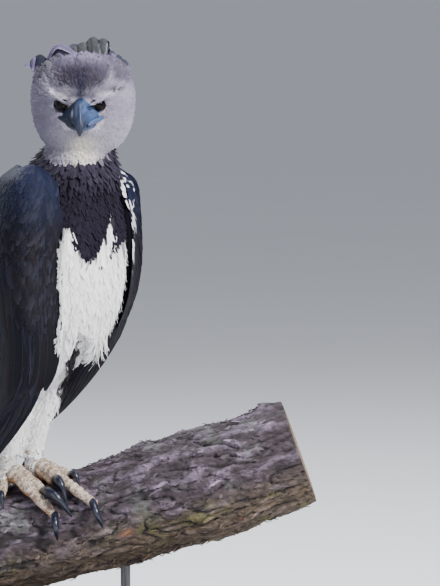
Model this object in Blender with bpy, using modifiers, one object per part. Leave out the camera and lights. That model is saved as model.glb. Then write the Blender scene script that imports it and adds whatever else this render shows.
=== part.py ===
"""A harpy eagle on a cut length of branch, life size, on a plain display stand.

The bird has its own frame under the empty "eagle": x towards its left side, y towards its tail, z up, with the
origin between its feet on top of the branch. Tables of stations are in centimetres, all other sizes in metres.
"""

import math
import random
from bisect import bisect_right

import bmesh
import bpy
from mathutils import Matrix, Vector, noise
from mathutils.bvhtree import BVHTree

CM = 0.01
GAP = 0.0004

# Stand
BASE_SIZE = Vector((0.56, 0.40, 0.030))
BASE_BEVEL = 0.006
ROD_RADIUS = 0.008
ROD_OFFSETS = (-0.13, 0.15)
ROD_SINK = 0.050

# Where the feet stand and how the body is turned
FEET = Vector((-0.085, 0.010, 0.325))
BODY_YAW = math.radians(47)

# Branch: stations along world X from the feet, with the height of its middle and its radius, in centimetres
BRANCH = (
    (-22.0, (-13.9, 8.5)),
    (-10.0, (-11.3, 8.5)),
    (0.0, (-8.9, 8.4)),
    (10.0, (-6.2, 8.4)),
    (20.0, (-3.1, 8.9)),
    (28.0, (-0.8, 9.1)),
    (36.0, (1.9, 8.6)),
    (43.0, (4.4, 8.3)),
)
BRANCH_Y = 0.008
BRANCH_SIDES = 16
BRANCH_RINGS = 20
BARK_RELIEF = 0.0035

# Body: forward and up of the middle, half width, half depth and lean from level, in centimetres and degrees
TORSO = (
    (0.00, (-10.4, 12.6, 1.6, 1.2, 50)),
    (0.08, (-9.0, 14.4, 4.4, 3.6, 50)),
    (0.20, (-5.8, 17.4, 8.0, 7.2, 52)),
    (0.34, (-1.6, 21.6, 10.6, 10.0, 56)),
    (0.48, (2.0, 27.0, 12.0, 11.5, 60)),
    (0.62, (4.6, 33.0, 12.6, 11.8, 63)),
    (0.76, (6.2, 38.8, 12.3, 10.8, 66)),
    (0.88, (7.5, 43.8, 10.7, 9.4, 69)),
    (1.00, (8.6, 48.4, 8.0, 7.6, 72)),
)
NECK = (
    (0.00, (8.4, 44.6, 7.6, 7.0, 72)),
    (0.35, (9.1, 49.4, 8.3, 7.4, 76)),
    (0.60, (9.6, 51.6, 7.3, 6.7, 80)),
    (1.00, (10.2, 55.6, 5.0, 4.6, 86)),
)
# How far the body and the neck bend to the left, at their lower and upper ends
TORSO_SWAY = (0.0, 0.009)
NECK_SWAY = (0.008, 0.013)

# Head
HEAD_CENTRE = Vector((-0.0045, -0.1230, 0.618))
HEAD_YAW = -BODY_YAW - math.radians(3)
HEAD_PITCH = math.radians(16)
HEAD_HALF_WIDTH = 0.084
HEAD_FRONT = 0.068
HEAD_BACK = 0.072
HEAD_UP = 0.069
HEAD_DOWN = 0.099
HEAD_SQUARENESS = 2.4
FACE_CROWDING = 0.30
FOREHEAD_PLACE = Vector((0, -0.62, 0.78))
FOREHEAD_RISE = 0.0045
FOREHEAD_SPREAD = 0.42
BROW_PLACES = (Vector((0.36, -0.88, 0.27)), Vector((0.55, -0.76, 0.24)))
BROW_RISE = 0.0055
BROW_SPREAD = 0.15
SOCKET_DEPTH = 0.0040
SOCKET_SPREAD = 0.26
EYE_RADIUS = 0.0125
EYE_DIRECTION = Vector((0.43, -0.895, 0.095))
EYE_STANDS_OUT = 0.0052
LID_STEPS = 12
LID_SECTION = ((-0.0012, 0.0004), (0.0004, 0.0018), (0.0026, 0.0006), (0.0022, -0.0026), (-0.0006, -0.0022))
EYE_LOOKS = Vector((0.42, -0.90, 0.0))

# Bill: stations from its root to its tip: forward, height of the ridge, height of the edge and half width, in
# centimetres
UPPER_BILL = (
    (0.00, (4.4, 1.6, -1.8, 3.3)),
    (0.20, (5.8, 1.7, -1.8, 3.4)),
    (0.40, (7.2, 1.6, -1.8, 2.7)),
    (0.60, (8.6, 1.0, -1.8, 1.85)),
    (0.78, (9.7, 0.0, -2.0, 1.25)),
    (0.90, (10.3, -1.1, -2.4, 0.85)),
    (1.00, (10.6, -2.4, -3.1, 0.28)),
)
LOWER_BILL = (
    (0.00, (4.4, -1.85, -3.0, 3.0)),
    (0.35, (6.6, -1.85, -3.1, 2.3)),
    (0.70, (8.4, -1.85, -2.9, 1.3)),
    (1.00, (9.5, -2.05, -2.5, 0.7)),
)
BILL_PINCH = 0.80
CERE_END = 0.52
CERE_STEP = 0.06
NOSTRIL_PLACE = Vector((0.0135, -0.0745, 0.0005))
NOSTRIL_HALF = (0.0028, 0.0016)
NOSTRIL_DEEP = 0.012

# Crest: rows of feathers on each side, the front ones standing up and the long ones lying back. Each row: count,
# share out to the side, back and up of the roots, rise in degrees, length, half width and bend in metres
CREST_ROWS = (
    (4, (0.14, 0.80), 0.26, (0.80, 0.62), (44, 34), (0.040, 0.036), 0.0165, 0.010),
    (3, (0.20, 0.74), 0.56, (0.62, 0.52), (20, 14), (0.060, 0.054), 0.0165, 0.014),
    (3, (0.12, 0.62), 0.82, (0.44, 0.38), (-4, -12), (0.082, 0.070), 0.0160, 0.016),
)
CREST_STEPS = 4
CREST_PLACE = Vector((0.42, 0.52, 0.74))
CREST_HALF = Vector((0.028, 0.036, 0.018))
CREST_PITCH = math.radians(-32)
CREST_ROLL = math.radians(20)
CREST_SINK = 0.009

# Feather blades: thickness at the shaft, and half of it at the edges
VANE_THICK = 0.0013
VANE_EDGE = 0.00028

# Folded wing: its front and back edges from shoulder to tip, forward, up and out, in centimetres
WING_FRONT = (
    (0.00, (9.8, 50.4, 8.4)),
    (0.10, (13.2, 47.4, 8.4)),
    (0.25, (14.2, 40.0, 8.0)),
    (0.40, (13.8, 32.0, 8.2)),
    (0.52, (11.6, 25.0, 8.8)),
    (0.65, (6.4, 17.8, 9.2)),
    (0.80, (-1.8, 10.2, 8.6)),
    (0.92, (-9.5, 5.0, 7.2)),
    (1.00, (-15.5, 2.0, 5.6)),
)
WING_BACK = (
    (0.00, (5.2, 49.4, 7.4)),
    (0.10, (-1.2, 47.0, 3.8)),
    (0.25, (-5.6, 42.0, 2.4)),
    (0.40, (-8.8, 35.5, 1.6)),
    (0.52, (-11.4, 29.0, 1.4)),
    (0.65, (-13.8, 21.5, 1.6)),
    (0.80, (-16.2, 13.0, 2.4)),
    (0.92, (-18.4, 6.5, 3.2)),
    (1.00, (-19.8, 2.6, 4.0)),
)
WING_BULGE = (
    (0.00, (0.9,)),
    (0.10, (5.5,)),
    (0.25, (7.6,)),
    (0.40, (7.9,)),
    (0.52, (6.8,)),
    (0.65, (5.1,)),
    (0.80, (3.0,)),
    (0.92, (1.5,)),
    (1.00, (0.3,)),
)
# The near wing hangs looser: how far its lower part comes forward and down, and how far back its front edge lies
WINGS = {
    "wing_left": {"side": 1, "loose": Vector((-0.004, 0.010, 0)), "lift": 0.0, "front_back": 0.025},
    "wing_right": {"side": -1, "loose": Vector((0, -0.056, -0.028)), "lift": 0.009, "front_back": -0.014},
}
# Tiers: count, root u and v and tip u and v from first to last, half width and lift in metres, rings in each
WING_TIERS = (
    (5, (0.05, 0.34), (0.44, 0.48), (0.05, 0.70), (0.98, 0.90), 0.022, 0.0008, 5),
    (5, (0.28, 0.94), (0.44, 0.42), (0.23, 0.94), (0.80, 0.74), 0.031, 0.0044, 5),
    (5, (0.10, 0.92), (0.31, 0.29), (0.10, 0.92), (0.53, 0.48), 0.033, 0.0070, 4),
    (4, (0.14, 0.88), (0.17, 0.16), (0.14, 0.88), (0.35, 0.33), 0.037, 0.0080, 4),
)
WING_CORE_END = 0.58
VANE_SINK = 0.004
VANE_TILT = math.radians(7)
WING_CLEAR = 0.011
WING_THICK = 0.020
WING_MIDLINE = 0.003
LOOSE_FROM = 0.34
LOOSE_TO = 0.72

# Thighs: forward, out, up, half width and half depth, in centimetres
THIGH = (
    (0.00, (0.6, 5.2, 23.0, 4.4, 7.0)),
    (0.30, (0.4, 4.8, 18.0, 4.0, 6.2)),
    (0.55, (0.2, 3.9, 13.0, 3.1, 4.5)),
    (0.78, (0.0, 3.0, 8.2, 2.15, 2.7)),
    (1.00, (0.0, 3.0, 3.4, 1.95, 2.10)),
)
SHANK_RADIUS = 0.0155
SHANK_LENGTH = 0.050
ANKLE_HEIGHT = 0.030
FOOT_RADIUS = 0.0195
FOOT_FLATNESS = 0.85
TOE_ROOT_RADIUS = 0.0112
TOE_TIP_RADIUS = 0.0076
SCUTE_RISE = 0.0011
CLAW_ARCH = 0.42

# Feet on the branch: distance along world X from the midpoint, in centimetres, and angle from the branch's top
# towards the viewer, in degrees. Toe: root, tip, claw tip, toe width as a share, claw root radius in metres
FEET_PLACES = {
    "right": {
        "side": -1,
        "middle": (-1.3, 3),
        "toes": {
            "outer": ((-1.6, 8), (-2.9, 33), (-2.9, 48), 0.86, 0.0056),
            "middle": ((-0.4, 14), (5.2, 74), (4.2, 96), 0.96, 0.0062),
            "inner": ((0.3, 8), (4.3, 45), (7.3, 77), 1.06, 0.0080),
            "hind": ((-2.0, -10), (-5.2, -42), (-7.4, -92), 1.10, 0.0088),
        },
    },
    "left": {
        "side": 1,
        "middle": (3.0, 1),
        "toes": {
            "inner": ((3.5, 8), (6.3, 33), (7.0, 64), 1.06, 0.0080),
            "middle": ((4.3, 12), (11.5, 72), (11.4, 96), 0.96, 0.0062),
            "outer": ((4.5, 4), (9.1, 31), (9.6, 46), 0.86, 0.0056),
            "hind": ((2.1, -12), (-0.6, -44), (-2.4, -94), 1.10, 0.0088),
        },
    },
}

# Tail: from the rump down behind the branch
TAIL_ROOT = Vector((0.0, 0.086, 0.150))
TAIL_LENGTH = 0.385
TAIL_DROP = math.radians(56)
TAIL_PAIRS = 6
TAIL_STEPS = 4
TAIL_FAN = math.radians(0.95)
TAIL_DROOP = 0.012
TAIL_HALF = 0.026
TAIL_LAYER = 0.0019
# Tail coverts: share of the tail's length, half width and half thickness in metres
TAIL_COVERTS = (
    (-0.08, 0.030, 0.026),
    (0.03, 0.038, 0.028),
    (0.14, 0.038, 0.023),
    (0.24, 0.033, 0.015),
    (0.32, 0.022, 0.009),
)


def smooth_at(stations, place):
    """Values at one place on smooth curves through (place, values) stations."""
    places = [p for p, _ in stations]
    i = max(0, min(len(places) - 2, bisect_right(places, place) - 1))
    near = [max(0, i - 1), i, i + 1, min(len(places) - 1, i + 2)]
    p0, p1, p2, p3 = (places[k] for k in near)
    v0, v1, v2, v3 = (stations[k][1] for k in near)
    span = p2 - p1
    t = min(1.0, max(0.0, (place - p1) / span))
    h00, h10 = 2 * t**3 - 3 * t**2 + 1, t**3 - 2 * t**2 + t
    h01, h11 = -2 * t**3 + 3 * t**2, t**3 - t**2
    values = []
    for a, b, c, d in zip(v0, v1, v2, v3):
        slope_in = (c - a) / (p2 - p0) * span
        slope_out = (d - b) / (p3 - p1) * span
        values.append(h00 * b + h10 * slope_in + h01 * c + h11 * slope_out)
    return values


def material(name, colour, roughness=0.6, metallic=0.0):
    """A plain Principled material, made once for each name."""
    found = bpy.data.materials.get(name)
    if found:
        return found
    made = bpy.data.materials.new(name)
    made.use_nodes = True
    shader = made.node_tree.nodes["Principled BSDF"]
    shader.inputs["Base Color"].default_value = (*colour, 1.0)
    shader.inputs["Roughness"].default_value = roughness
    shader.inputs["Metallic"].default_value = metallic
    made.diffuse_color = (*colour, 1.0)
    return made


def add_object(name, bm, finish=None, parent=None):
    """Puts a finished bmesh into the scene as an object with its faces pointing out."""
    bmesh.ops.recalc_face_normals(bm, faces=bm.faces)
    if bm.calc_volume(signed=True) < 0:
        bmesh.ops.reverse_faces(bm, faces=bm.faces)
    mesh = bpy.data.meshes.new(name)
    bm.to_mesh(mesh)
    bm.free()
    mesh.shade_smooth()
    made = bpy.data.objects.new(name, mesh)
    PARTS.objects.link(made)
    if finish:
        mesh.materials.append(finish)
    made.parent = parent
    return made


def loft_into(bm, rings):
    """Adds a closed body through rings of points that all run round it the same way."""
    rows = [[bm.verts.new(p) for p in ring] for ring in rings]
    for low, high in zip(rows, rows[1:]):
        for i in range(len(low)):
            j = (i + 1) % len(low)
            bm.faces.new((low[i], low[j], high[j], high[i]))
    bm.faces.new(list(reversed(rows[0])))
    bm.faces.new(rows[-1])


def loft(name, rings, finish=None, parent=None):
    """One closed body through rings of points."""
    bm = bmesh.new()
    loft_into(bm, rings)
    return add_object(name, bm, finish, parent)


def oval(centre, across, along, half_across, half_along, count):
    """Points round an oval in the plane of two unit vectors."""
    points = []
    for i in range(count):
        angle = 2 * math.pi * i / count
        offset = across * (half_across * math.cos(angle)) + along * (half_along * math.sin(angle))
        points.append(centre + offset)
    return points


def tube_rings(path, radii, hint, sides, flatten=1.0):
    """Rings round a path, each square to it, with one side kept towards hint."""
    rings = []
    last = len(path) - 1
    for i, (point, radius) in enumerate(zip(path, radii)):
        heading = (path[min(last, i + 1)] - path[max(0, i - 1)]).normalized()
        across = heading.cross(hint).normalized()
        rings.append(oval(point, across, across.cross(heading), radius, radius * flatten, sides))
    return rings


def applied(obj):
    """Gives an object its evaluated mesh and drops its modifiers."""
    bpy.context.view_layer.update()
    graph = bpy.context.evaluated_depsgraph_get()
    mesh = bpy.data.meshes.new_from_object(obj.evaluated_get(graph), depsgraph=graph)
    obj.modifiers.clear()
    old, obj.data = obj.data, mesh
    bpy.data.meshes.remove(old)
    return obj


def keep_largest(obj):
    """Keeps the closed surface that holds the most volume, and drops the rest."""
    bm = bmesh.new()
    bm.from_mesh(obj.data)
    bmesh.ops.triangulate(bm, faces=bm.faces)
    left, groups = set(bm.faces), []
    while left:
        stack, group = [left.pop()], []
        while stack:
            face = stack.pop()
            group.append(face)
            for edge in face.edges:
                for other in edge.link_faces:
                    if other in left:
                        left.remove(other)
                        stack.append(other)
        groups.append(group)
    groups.sort(key=lambda g: sum(f.verts[0].co.dot(f.verts[1].co.cross(f.verts[2].co)) for f in g))
    spare = [f for g in groups[:-1] for f in g]
    bmesh.ops.delete(bm, geom=spare, context="FACES")
    bm.to_mesh(obj.data)
    bm.free()
    return obj


def grown_copy(obj, by):
    """A helper copy of an object, larger on every side."""
    graph = bpy.context.evaluated_depsgraph_get()
    mesh = bpy.data.meshes.new_from_object(obj.evaluated_get(graph), depsgraph=graph)
    bm = bmesh.new()
    bm.from_mesh(mesh)
    bm.normal_update()
    moves = [v.normal * by * min(2.0, v.calc_shell_factor()) for v in bm.verts]
    for vertex, move in zip(bm.verts, moves):
        vertex.co += move
    bm.to_mesh(mesh)
    bm.free()
    made = bpy.data.objects.new(obj.name + "_cutter", mesh)
    CUTTERS.objects.link(made)
    made.parent = obj.parent
    made.matrix_world = obj.matrix_world.copy()
    made.hide_render = True
    made.display_type = "WIRE"
    return made


def tree_of(obj):
    """A search tree of an object's faces, in the world."""
    points = [obj.matrix_world @ v.co for v in obj.data.vertices]
    return BVHTree.FromPolygons(points, [p.vertices for p in obj.data.polygons])


def cut_clear(obj, neighbour):
    """Cuts an object back from a neighbour that it meets, leaving the gap that touching meshes keep."""
    cutter = grown_copy(neighbour, GAP)
    if tree_of(obj).overlap(tree_of(cutter)):
        cut = obj.modifiers.new("clear", "BOOLEAN")
        cut.operation = "DIFFERENCE"
        cut.solver = "MANIFOLD"
        cut.object = cutter
        applied(obj)
        keep_largest(obj)
    bpy.data.objects.remove(cutter)


def settle(objects):
    """Makes each object give way to all those before it in the list."""
    bpy.context.view_layer.update()
    for i, obj in enumerate(objects):
        for earlier in objects[:i]:
            low_a, high_a = world_box(obj)
            low_b, high_b = world_box(earlier)
            if all(low_a[k] < high_b[k] + GAP and low_b[k] < high_a[k] + GAP for k in range(3)):
                cut_clear(obj, earlier)


def world_box(obj):
    """Lowest and highest corners of an object in the world."""
    points = [obj.matrix_world @ v.co for v in obj.data.vertices]
    return [min(p[k] for p in points) for k in range(3)], [max(p[k] for p in points) for k in range(3)]


def joined(core, pieces):
    """Fuses closed pieces into a core object, which stays one closed body."""
    group = bpy.data.collections.new(core.name + "_pieces")
    bpy.context.scene.collection.children.link(group)
    for piece in pieces:
        PARTS.objects.unlink(piece)
        group.objects.link(piece)
    union = core.modifiers.new("fuse", "BOOLEAN")
    union.operation = "UNION"
    union.solver = "MANIFOLD"
    union.operand_type = "COLLECTION"
    union.collection = group
    applied(core)
    for piece in list(group.objects):
        bpy.data.objects.remove(piece)
    bpy.data.collections.remove(group)
    return keep_largest(core)


def body_rings(stations, count, sides, sway):
    """Rings of the body or neck, square to a spine that leans forward and bends to the left on its way up."""
    rings = []
    for i in range(count):
        forward, up, wide, deep, lean = smooth_at(stations, i / (count - 1))
        angle = math.radians(lean)
        front = Vector((0, -math.sin(angle), -math.cos(angle)))
        aside = sway[0] + (sway[1] - sway[0]) * i / (count - 1)
        centre = Vector((0, -forward, up)) * CM + Vector((aside, 0, 0))
        rings.append(oval(centre, Vector((1, 0, 0)), front, wide * CM, deep * CM, sides))
    return rings


def branch_at(x):
    """Middle and radius of the branch at a distance along world X from the feet, in the world."""
    height, radius = smooth_at(BRANCH, x / CM)
    return Vector((FEET.x + x, FEET.y + BRANCH_Y, FEET.z + height * CM)), radius * CM


def bark(x, angle):
    """How far the bark stands out from the branch's plain round."""
    place = Vector((x * 9, math.cos(angle) * 1.6, math.sin(angle) * 1.6))
    ridges = Vector((x * 28, math.cos(angle) * 3.5, math.sin(angle) * 3.5))
    return BARK_RELIEF * (1.3 * noise.noise(place) + 0.7 * noise.noise(ridges))


def make_branch():
    """The cut length of branch that the bird grips."""
    start, end = BRANCH[0][0] * CM, BRANCH[-1][0] * CM
    rings = []
    for i in range(BRANCH_RINGS):
        x = start + (end - start) * i / (BRANCH_RINGS - 1)
        centre, radius = branch_at(x)
        ahead, _ = branch_at(min(end, x + 0.01))
        behind, _ = branch_at(max(start, x - 0.01))
        heading = (ahead - behind).normalized()
        upright = Vector((0, -1, 0)).cross(heading)
        ring = []
        for k in range(BRANCH_SIDES):
            angle = 2 * math.pi * k / BRANCH_SIDES
            reach = radius + bark(x, angle)
            ring.append(centre + upright * (reach * math.cos(angle)) + Vector((0, reach * math.sin(angle), 0)))
        rings.append(ring)
    return loft("perch", rings, material("bark", (0.30, 0.25, 0.22), 0.9))


def make_stand():
    """A flat base and two rods up to the branch."""
    bpy.ops.mesh.primitive_cube_add(size=1, location=(0, 0, BASE_SIZE.z / 2))
    base = bpy.context.object
    base.name = base.data.name = "stand_base"
    base.data.transform(Matrix.Diagonal((*BASE_SIZE, 1)))
    edge = base.modifiers.new("edge", "BEVEL")
    edge.width = BASE_BEVEL
    edge.segments = 2
    base.data.materials.append(material("base_wood", (0.10, 0.07, 0.05), 0.45))
    for collection in list(base.users_collection):
        collection.objects.unlink(base)
    PARTS.objects.link(base)
    applied(base)
    pieces = [base]
    for side, offset in zip(("left", "right"), ROD_OFFSETS):
        middle, radius = branch_at(offset)
        low = BASE_SIZE.z + GAP
        high = middle.z - radius + ROD_SINK
        bpy.ops.mesh.primitive_cylinder_add(
            vertices=20, radius=ROD_RADIUS, depth=high - low, location=(middle.x, middle.y, (low + high) / 2)
        )
        rod = bpy.context.object
        rod.name = rod.data.name = "stand_rod_" + side
        rod.data.materials.append(material("rod_steel", (0.05, 0.05, 0.055), 0.35, 0.9))
        for collection in list(rod.users_collection):
            collection.objects.unlink(rod)
        PARTS.objects.link(rod)
        pieces.append(rod)
    return pieces


def head_matrix():
    """Where the head sits on the bird and which way it looks."""
    turn = Matrix.Rotation(HEAD_YAW, 4, "Z") @ Matrix.Rotation(HEAD_PITCH, 4, "X")
    return Matrix.Translation(HEAD_CENTRE) @ turn


def mirrored(vector, side):
    """A vector of the left side, or its mirror image on the right."""
    return Vector((side * vector.x, vector.y, vector.z))


def near(direction, place, spread):
    """A soft hump: one at the place, falling away over the spread."""
    return math.exp(-(((direction - place.normalized()).length / spread) ** 2))


def head_reach(direction):
    """Distance from the head's middle to its outline in one direction."""
    deep = HEAD_FRONT if direction.y < 0 else HEAD_BACK
    tall = HEAD_UP if direction.z > 0 else HEAD_DOWN
    power = HEAD_SQUARENESS
    total = abs(direction.x / HEAD_HALF_WIDTH) ** power + abs(direction.y / deep) ** power
    total += abs(direction.z / tall) ** power
    reach = total ** (-1 / power)
    reach += FOREHEAD_RISE * near(direction, FOREHEAD_PLACE, FOREHEAD_SPREAD)
    for side in (-1, 1):
        reach -= SOCKET_DEPTH * near(direction, mirrored(EYE_DIRECTION, side), SOCKET_SPREAD)
        for place in BROW_PLACES:
            reach += BROW_RISE * near(direction, mirrored(place, side), BROW_SPREAD)
    return reach


def eye_matrix(side):
    """Where one eye sits, with its z axis looking out of the head."""
    direction = mirrored(EYE_DIRECTION, side).normalized()
    place = direction * (head_reach(direction) - EYE_RADIUS + EYE_STANDS_OUT)
    look = mirrored(EYE_LOOKS, side).to_track_quat("Z", "Y").to_matrix().to_4x4()
    return head_matrix() @ Matrix.Translation(place) @ look


def make_lids(side, finish, eagle):
    """The rim of both lids round one eye, as a closed ring."""
    bm = bmesh.new()
    rows = []
    for i in range(LID_STEPS):
        angle = 2 * math.pi * i / LID_STEPS
        around = Vector((math.cos(angle), math.sin(angle) * 0.86, 0))
        middle = around * (EYE_RADIUS * 0.93) + Vector((0, 0, EYE_RADIUS * 0.42))
        rows.append([bm.verts.new(middle + around * a + Vector((0, 0, b))) for a, b in LID_SECTION])
    for i, row in enumerate(rows):
        after = rows[(i + 1) % LID_STEPS]
        for k in range(len(row)):
            m = (k + 1) % len(row)
            bm.faces.new((row[k], row[m], after[m], after[k]))
    bm.transform(eye_matrix(side))
    return add_object("lids", bm, finish, eagle)


def make_head(eagle):
    """The feathered head, with brows over the eye sockets and lids round them."""
    finish = material("head_grey", (0.52, 0.52, 0.56), 0.8)
    bm = bmesh.new()
    bmesh.ops.create_icosphere(bm, subdivisions=4, radius=1)
    for vertex in bm.verts:
        direction = (vertex.co.normalized() + Vector((0, -FACE_CROWDING, 0))).normalized()
        vertex.co = direction * head_reach(direction)
    bm.transform(head_matrix())
    head = add_object("head", bm, finish, eagle)
    return joined(head, [make_lids(side, finish, eagle) for side in (1, -1)])


def make_eye(side, eagle):
    """An eyeball, set in the head."""
    bm = bmesh.new()
    bmesh.ops.create_uvsphere(bm, u_segments=12, v_segments=8, radius=EYE_RADIUS)
    bm.transform(eye_matrix(side))
    return add_object("eye_left" if side > 0 else "eye_right", bm, material("eye", (0.02, 0.018, 0.015), 0.08), eagle)


def section_ring(wide, high, low, forward, squareness, pinch, sides):
    """An upright ring of the bill: squarer low down and pinched in towards its ridge."""
    ring = []
    for k in range(sides):
        angle = 2 * math.pi * (k + 0.5) / sides
        across, upright = math.cos(angle), math.sin(angle)
        square = math.copysign(abs(across) ** squareness, across)
        narrow = 1 - pinch * (1 + upright) / 2
        height = (high + low) / 2 + (high - low) / 2 * upright
        ring.append(Vector((wide * square * narrow, -forward, height)) * CM)
    return ring


def bill_rings(stations, start, end, count, sides, pinch, grow=0.0):
    """Rings of a stretch of the bill."""
    rings = []
    for i in range(count):
        forward, high, low, wide = smooth_at(stations, start + (end - start) * i / (count - 1))
        rings.append(section_ring(wide + grow, high + grow, low - grow, forward, 0.40, pinch, sides))
    return rings


def make_bill(eagle):
    """The cere with its nostrils, and the upper and lower bill, parted along the mouth."""
    horn = material("bill_horn", (0.10, 0.12, 0.17), 0.35)
    waxy = material("cere_skin", (0.12, 0.14, 0.19), 0.5)
    cere = loft("cere", bill_rings(UPPER_BILL, 0.0, CERE_END, 5, 12, BILL_PINCH, CERE_STEP), waxy, eagle)
    upper = loft("bill_upper", bill_rings(UPPER_BILL, CERE_END - 0.06, 1.0, 8, 12, BILL_PINCH), horn, eagle)
    lower = loft("bill_lower", bill_rings(LOWER_BILL, 0.0, 1.0, 6, 10, 0.0), horn, eagle)
    for side in (1, -1):
        bm = bmesh.new()
        bmesh.ops.create_cone(bm, segments=8, radius1=1, radius2=1, depth=NOSTRIL_DEEP, cap_ends=True)
        bm.transform(Matrix.Diagonal((*NOSTRIL_HALF, 1, 1)))
        bm.transform(Matrix.Rotation(math.radians(25), 4, "Z"))
        bm.transform(Matrix.Rotation(math.pi / 2, 4, "Y"))
        bm.transform(Matrix.Translation(mirrored(NOSTRIL_PLACE, side)))
        cutter = add_object("nostril_cutter", bm, None, eagle)
        PARTS.objects.unlink(cutter)
        CUTTERS.objects.link(cutter)
        cutter.hide_render = True
        cutter.display_type = "WIRE"
        cut = cere.modifiers.new("nostril", "BOOLEAN")
        cut.operation = "DIFFERENCE"
        cut.solver = "MANIFOLD"
        cut.object = cutter
        applied(cere)
        bpy.data.objects.remove(cutter)
    for piece in (cere, upper, lower):
        piece.data.transform(head_matrix())
    return [cere, upper, lower]


def vane(name, path, outs, half_widths, finish, parent, cup):
    """One feather: a thin closed blade along a path, higher at its shaft, split alike on both of its faces."""
    bm = bmesh.new()
    last = len(path) - 1
    rows = []
    for i, (point, out, half) in enumerate(zip(path, outs, half_widths)):
        heading = (path[min(last, i + 1)] - path[max(0, i - 1)]).normalized()
        across = heading.cross(out).normalized()
        up = across.cross(heading)
        taper = 1 - 0.4 * i / last
        shaft, edge = up * (VANE_THICK / 2 * taper), up * VANE_EDGE
        left = point - across * half - up * (cup * half)
        right = point + across * half - up * (cup * half)
        ring = (left + edge, point + shaft, right + edge, right - edge, point - shaft, left - edge)
        rows.append([bm.verts.new(p) for p in ring])
    for low, high in zip(rows, rows[1:]):
        for k in range(6):
            m = (k + 1) % 6
            if k < 3:
                bm.faces.new((low[k], low[m], high[m]))
                bm.faces.new((low[k], high[m], high[k]))
            else:
                bm.faces.new((low[k], low[m], high[k]))
                bm.faces.new((low[m], high[m], high[k]))
    for row in (rows[0], rows[-1]):
        bm.faces.new((row[0], row[1], row[4], row[5]))
        bm.faces.new((row[1], row[2], row[3], row[4]))
    return add_object(name, bm, finish, parent)


def feather_widths(count, half):
    """Half widths along a feather: narrow at its root, full, then round at its tip."""
    widths = []
    for i in range(count):
        t = i / (count - 1)
        root = min(1.0, 0.45 + 2.2 * t)
        tip = math.sqrt(max(0.0, 1 - (max(0.0, t - 0.72) / 0.285) ** 2))
        widths.append(half * root * max(0.16, tip))
    return widths


def make_crest(side, eagle):
    """One side of the crest: broad feathers that rise from behind the crown and fan back and out."""
    finish = material("crest_slate", (0.20, 0.20, 0.25), 0.7)
    name = "crest_left" if side > 0 else "crest_right"
    place = mirrored(CREST_PLACE, side).normalized()
    bm = bmesh.new()
    bmesh.ops.create_icosphere(bm, subdivisions=2, radius=1)
    bm.transform(Matrix.Diagonal((*CREST_HALF, 1)))
    tilt = Matrix.Rotation(CREST_PITCH, 4, "X") @ Matrix.Rotation(side * CREST_ROLL, 4, "Y")
    bm.transform(Matrix.Translation(place * (head_reach(place) - 0.004)) @ tilt)
    bm.transform(head_matrix())
    core = add_object(name, bm, finish, eagle)
    feathers = []
    for count, spread, back, height, rise, length, half, bend in CREST_ROWS:
        for k in range(count):
            share = k / (count - 1)
            aside = spread[0] + (spread[1] - spread[0]) * share
            root_way = Vector((aside, back, height[0] + (height[1] - height[0]) * share)).normalized()
            angle = math.radians(rise[0] + (rise[1] - rise[0]) * share + random.uniform(-4, 4))
            heading = Vector((aside * 0.75, math.cos(angle), math.sin(angle))).normalized()
            face = Vector((0.35 * aside, -math.sin(angle), math.cos(angle))).normalized()
            long = length[0] + (length[1] - length[0]) * share + random.uniform(-0.003, 0.003)
            start = root_way * (head_reach(root_way) - CREST_SINK)
            path, outs = [], []
            for i in range(CREST_STEPS):
                t = i / (CREST_STEPS - 1)
                path.append(mirrored(start + heading * (long * t) - face * (bend * t * t), side))
                outs.append(mirrored(face, side))
            blade = vane(name, path, outs, feather_widths(CREST_STEPS, half), finish, eagle, 0.18)
            blade.data.transform(head_matrix())
            feathers.append(blade)
    return joined(core, feathers)


def wing_point(u, v, wing, body):
    """A point of a folded wing's outer surface, as for the left side: u from its front edge to its back, v from
    shoulder to tip. It never comes closer to the body than WING_CLEAR."""
    front, back = smooth_at(WING_FRONT, v), smooth_at(WING_BACK, v)
    bulge = smooth_at(WING_BULGE, v)[0]
    u = max(0.0, min(1.0, u))
    forward, up, out = (a + (b - a) * u**1.12 for a, b in zip(front, back))
    out += bulge * math.sin(math.pi * u**0.60) ** 0.75
    point = Vector((out, -forward, up)) * CM
    share = max(0.0, min(1.0, (v - LOOSE_FROM) / (LOOSE_TO - LOOSE_FROM)))
    point += wing["loose"] * (share * share * (3 - 2 * share))
    point.y += wing["front_back"] * (1 - u) ** 1.5 * min(1.0, 6 * v, 2.5 * (1 - v))
    nearest, normal, _, _ = body.find_nearest(point)
    lacking = WING_CLEAR * min(1.0, 0.35 + 2 * u) - (point - nearest).dot(normal)
    if lacking > 0:
        point += normal * (lacking * max(0.0, min(1.0, 2.5 - 3.3 * normal.z)))
    point.x = max(point.x, WING_MIDLINE)
    point.z += wing["lift"]
    return point


def wing_depth(u, v):
    """Thickness of the wing's body under its outer surface."""
    thick = 0.003 + WING_THICK * max(0.0, 1 - v / 0.60) ** 0.6 + 0.005 * max(0.0, 1 - v)
    return thick * (0.3 + 0.7 * math.sin(math.pi * (0.14 + 0.72 * u)))


def wing_sheet(wing, body, v_end, rings, steps):
    """Rows of outer points of a wing, and the ways out from it."""
    rows = []
    for i in range(rings):
        rows.append([wing_point(k / (steps - 1), v_end * i / (rings - 1), wing, body) for k in range(steps)])
    outs = []
    for i in range(rings):
        out_row = []
        for k in range(steps):
            across = rows[i][min(steps - 1, k + 1)] - rows[i][max(0, k - 1)]
            along = rows[min(rings - 1, i + 1)][k] - rows[max(0, i - 1)][k]
            normal = across.cross(along).normalized()
            middle = Vector((0, rows[i][k].y * 0.4, rows[i][k].z))
            out_row.append(normal if normal.dot(rows[i][k] - middle) > 0 else -normal)
        outs.append(out_row)
    return rows, outs


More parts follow.
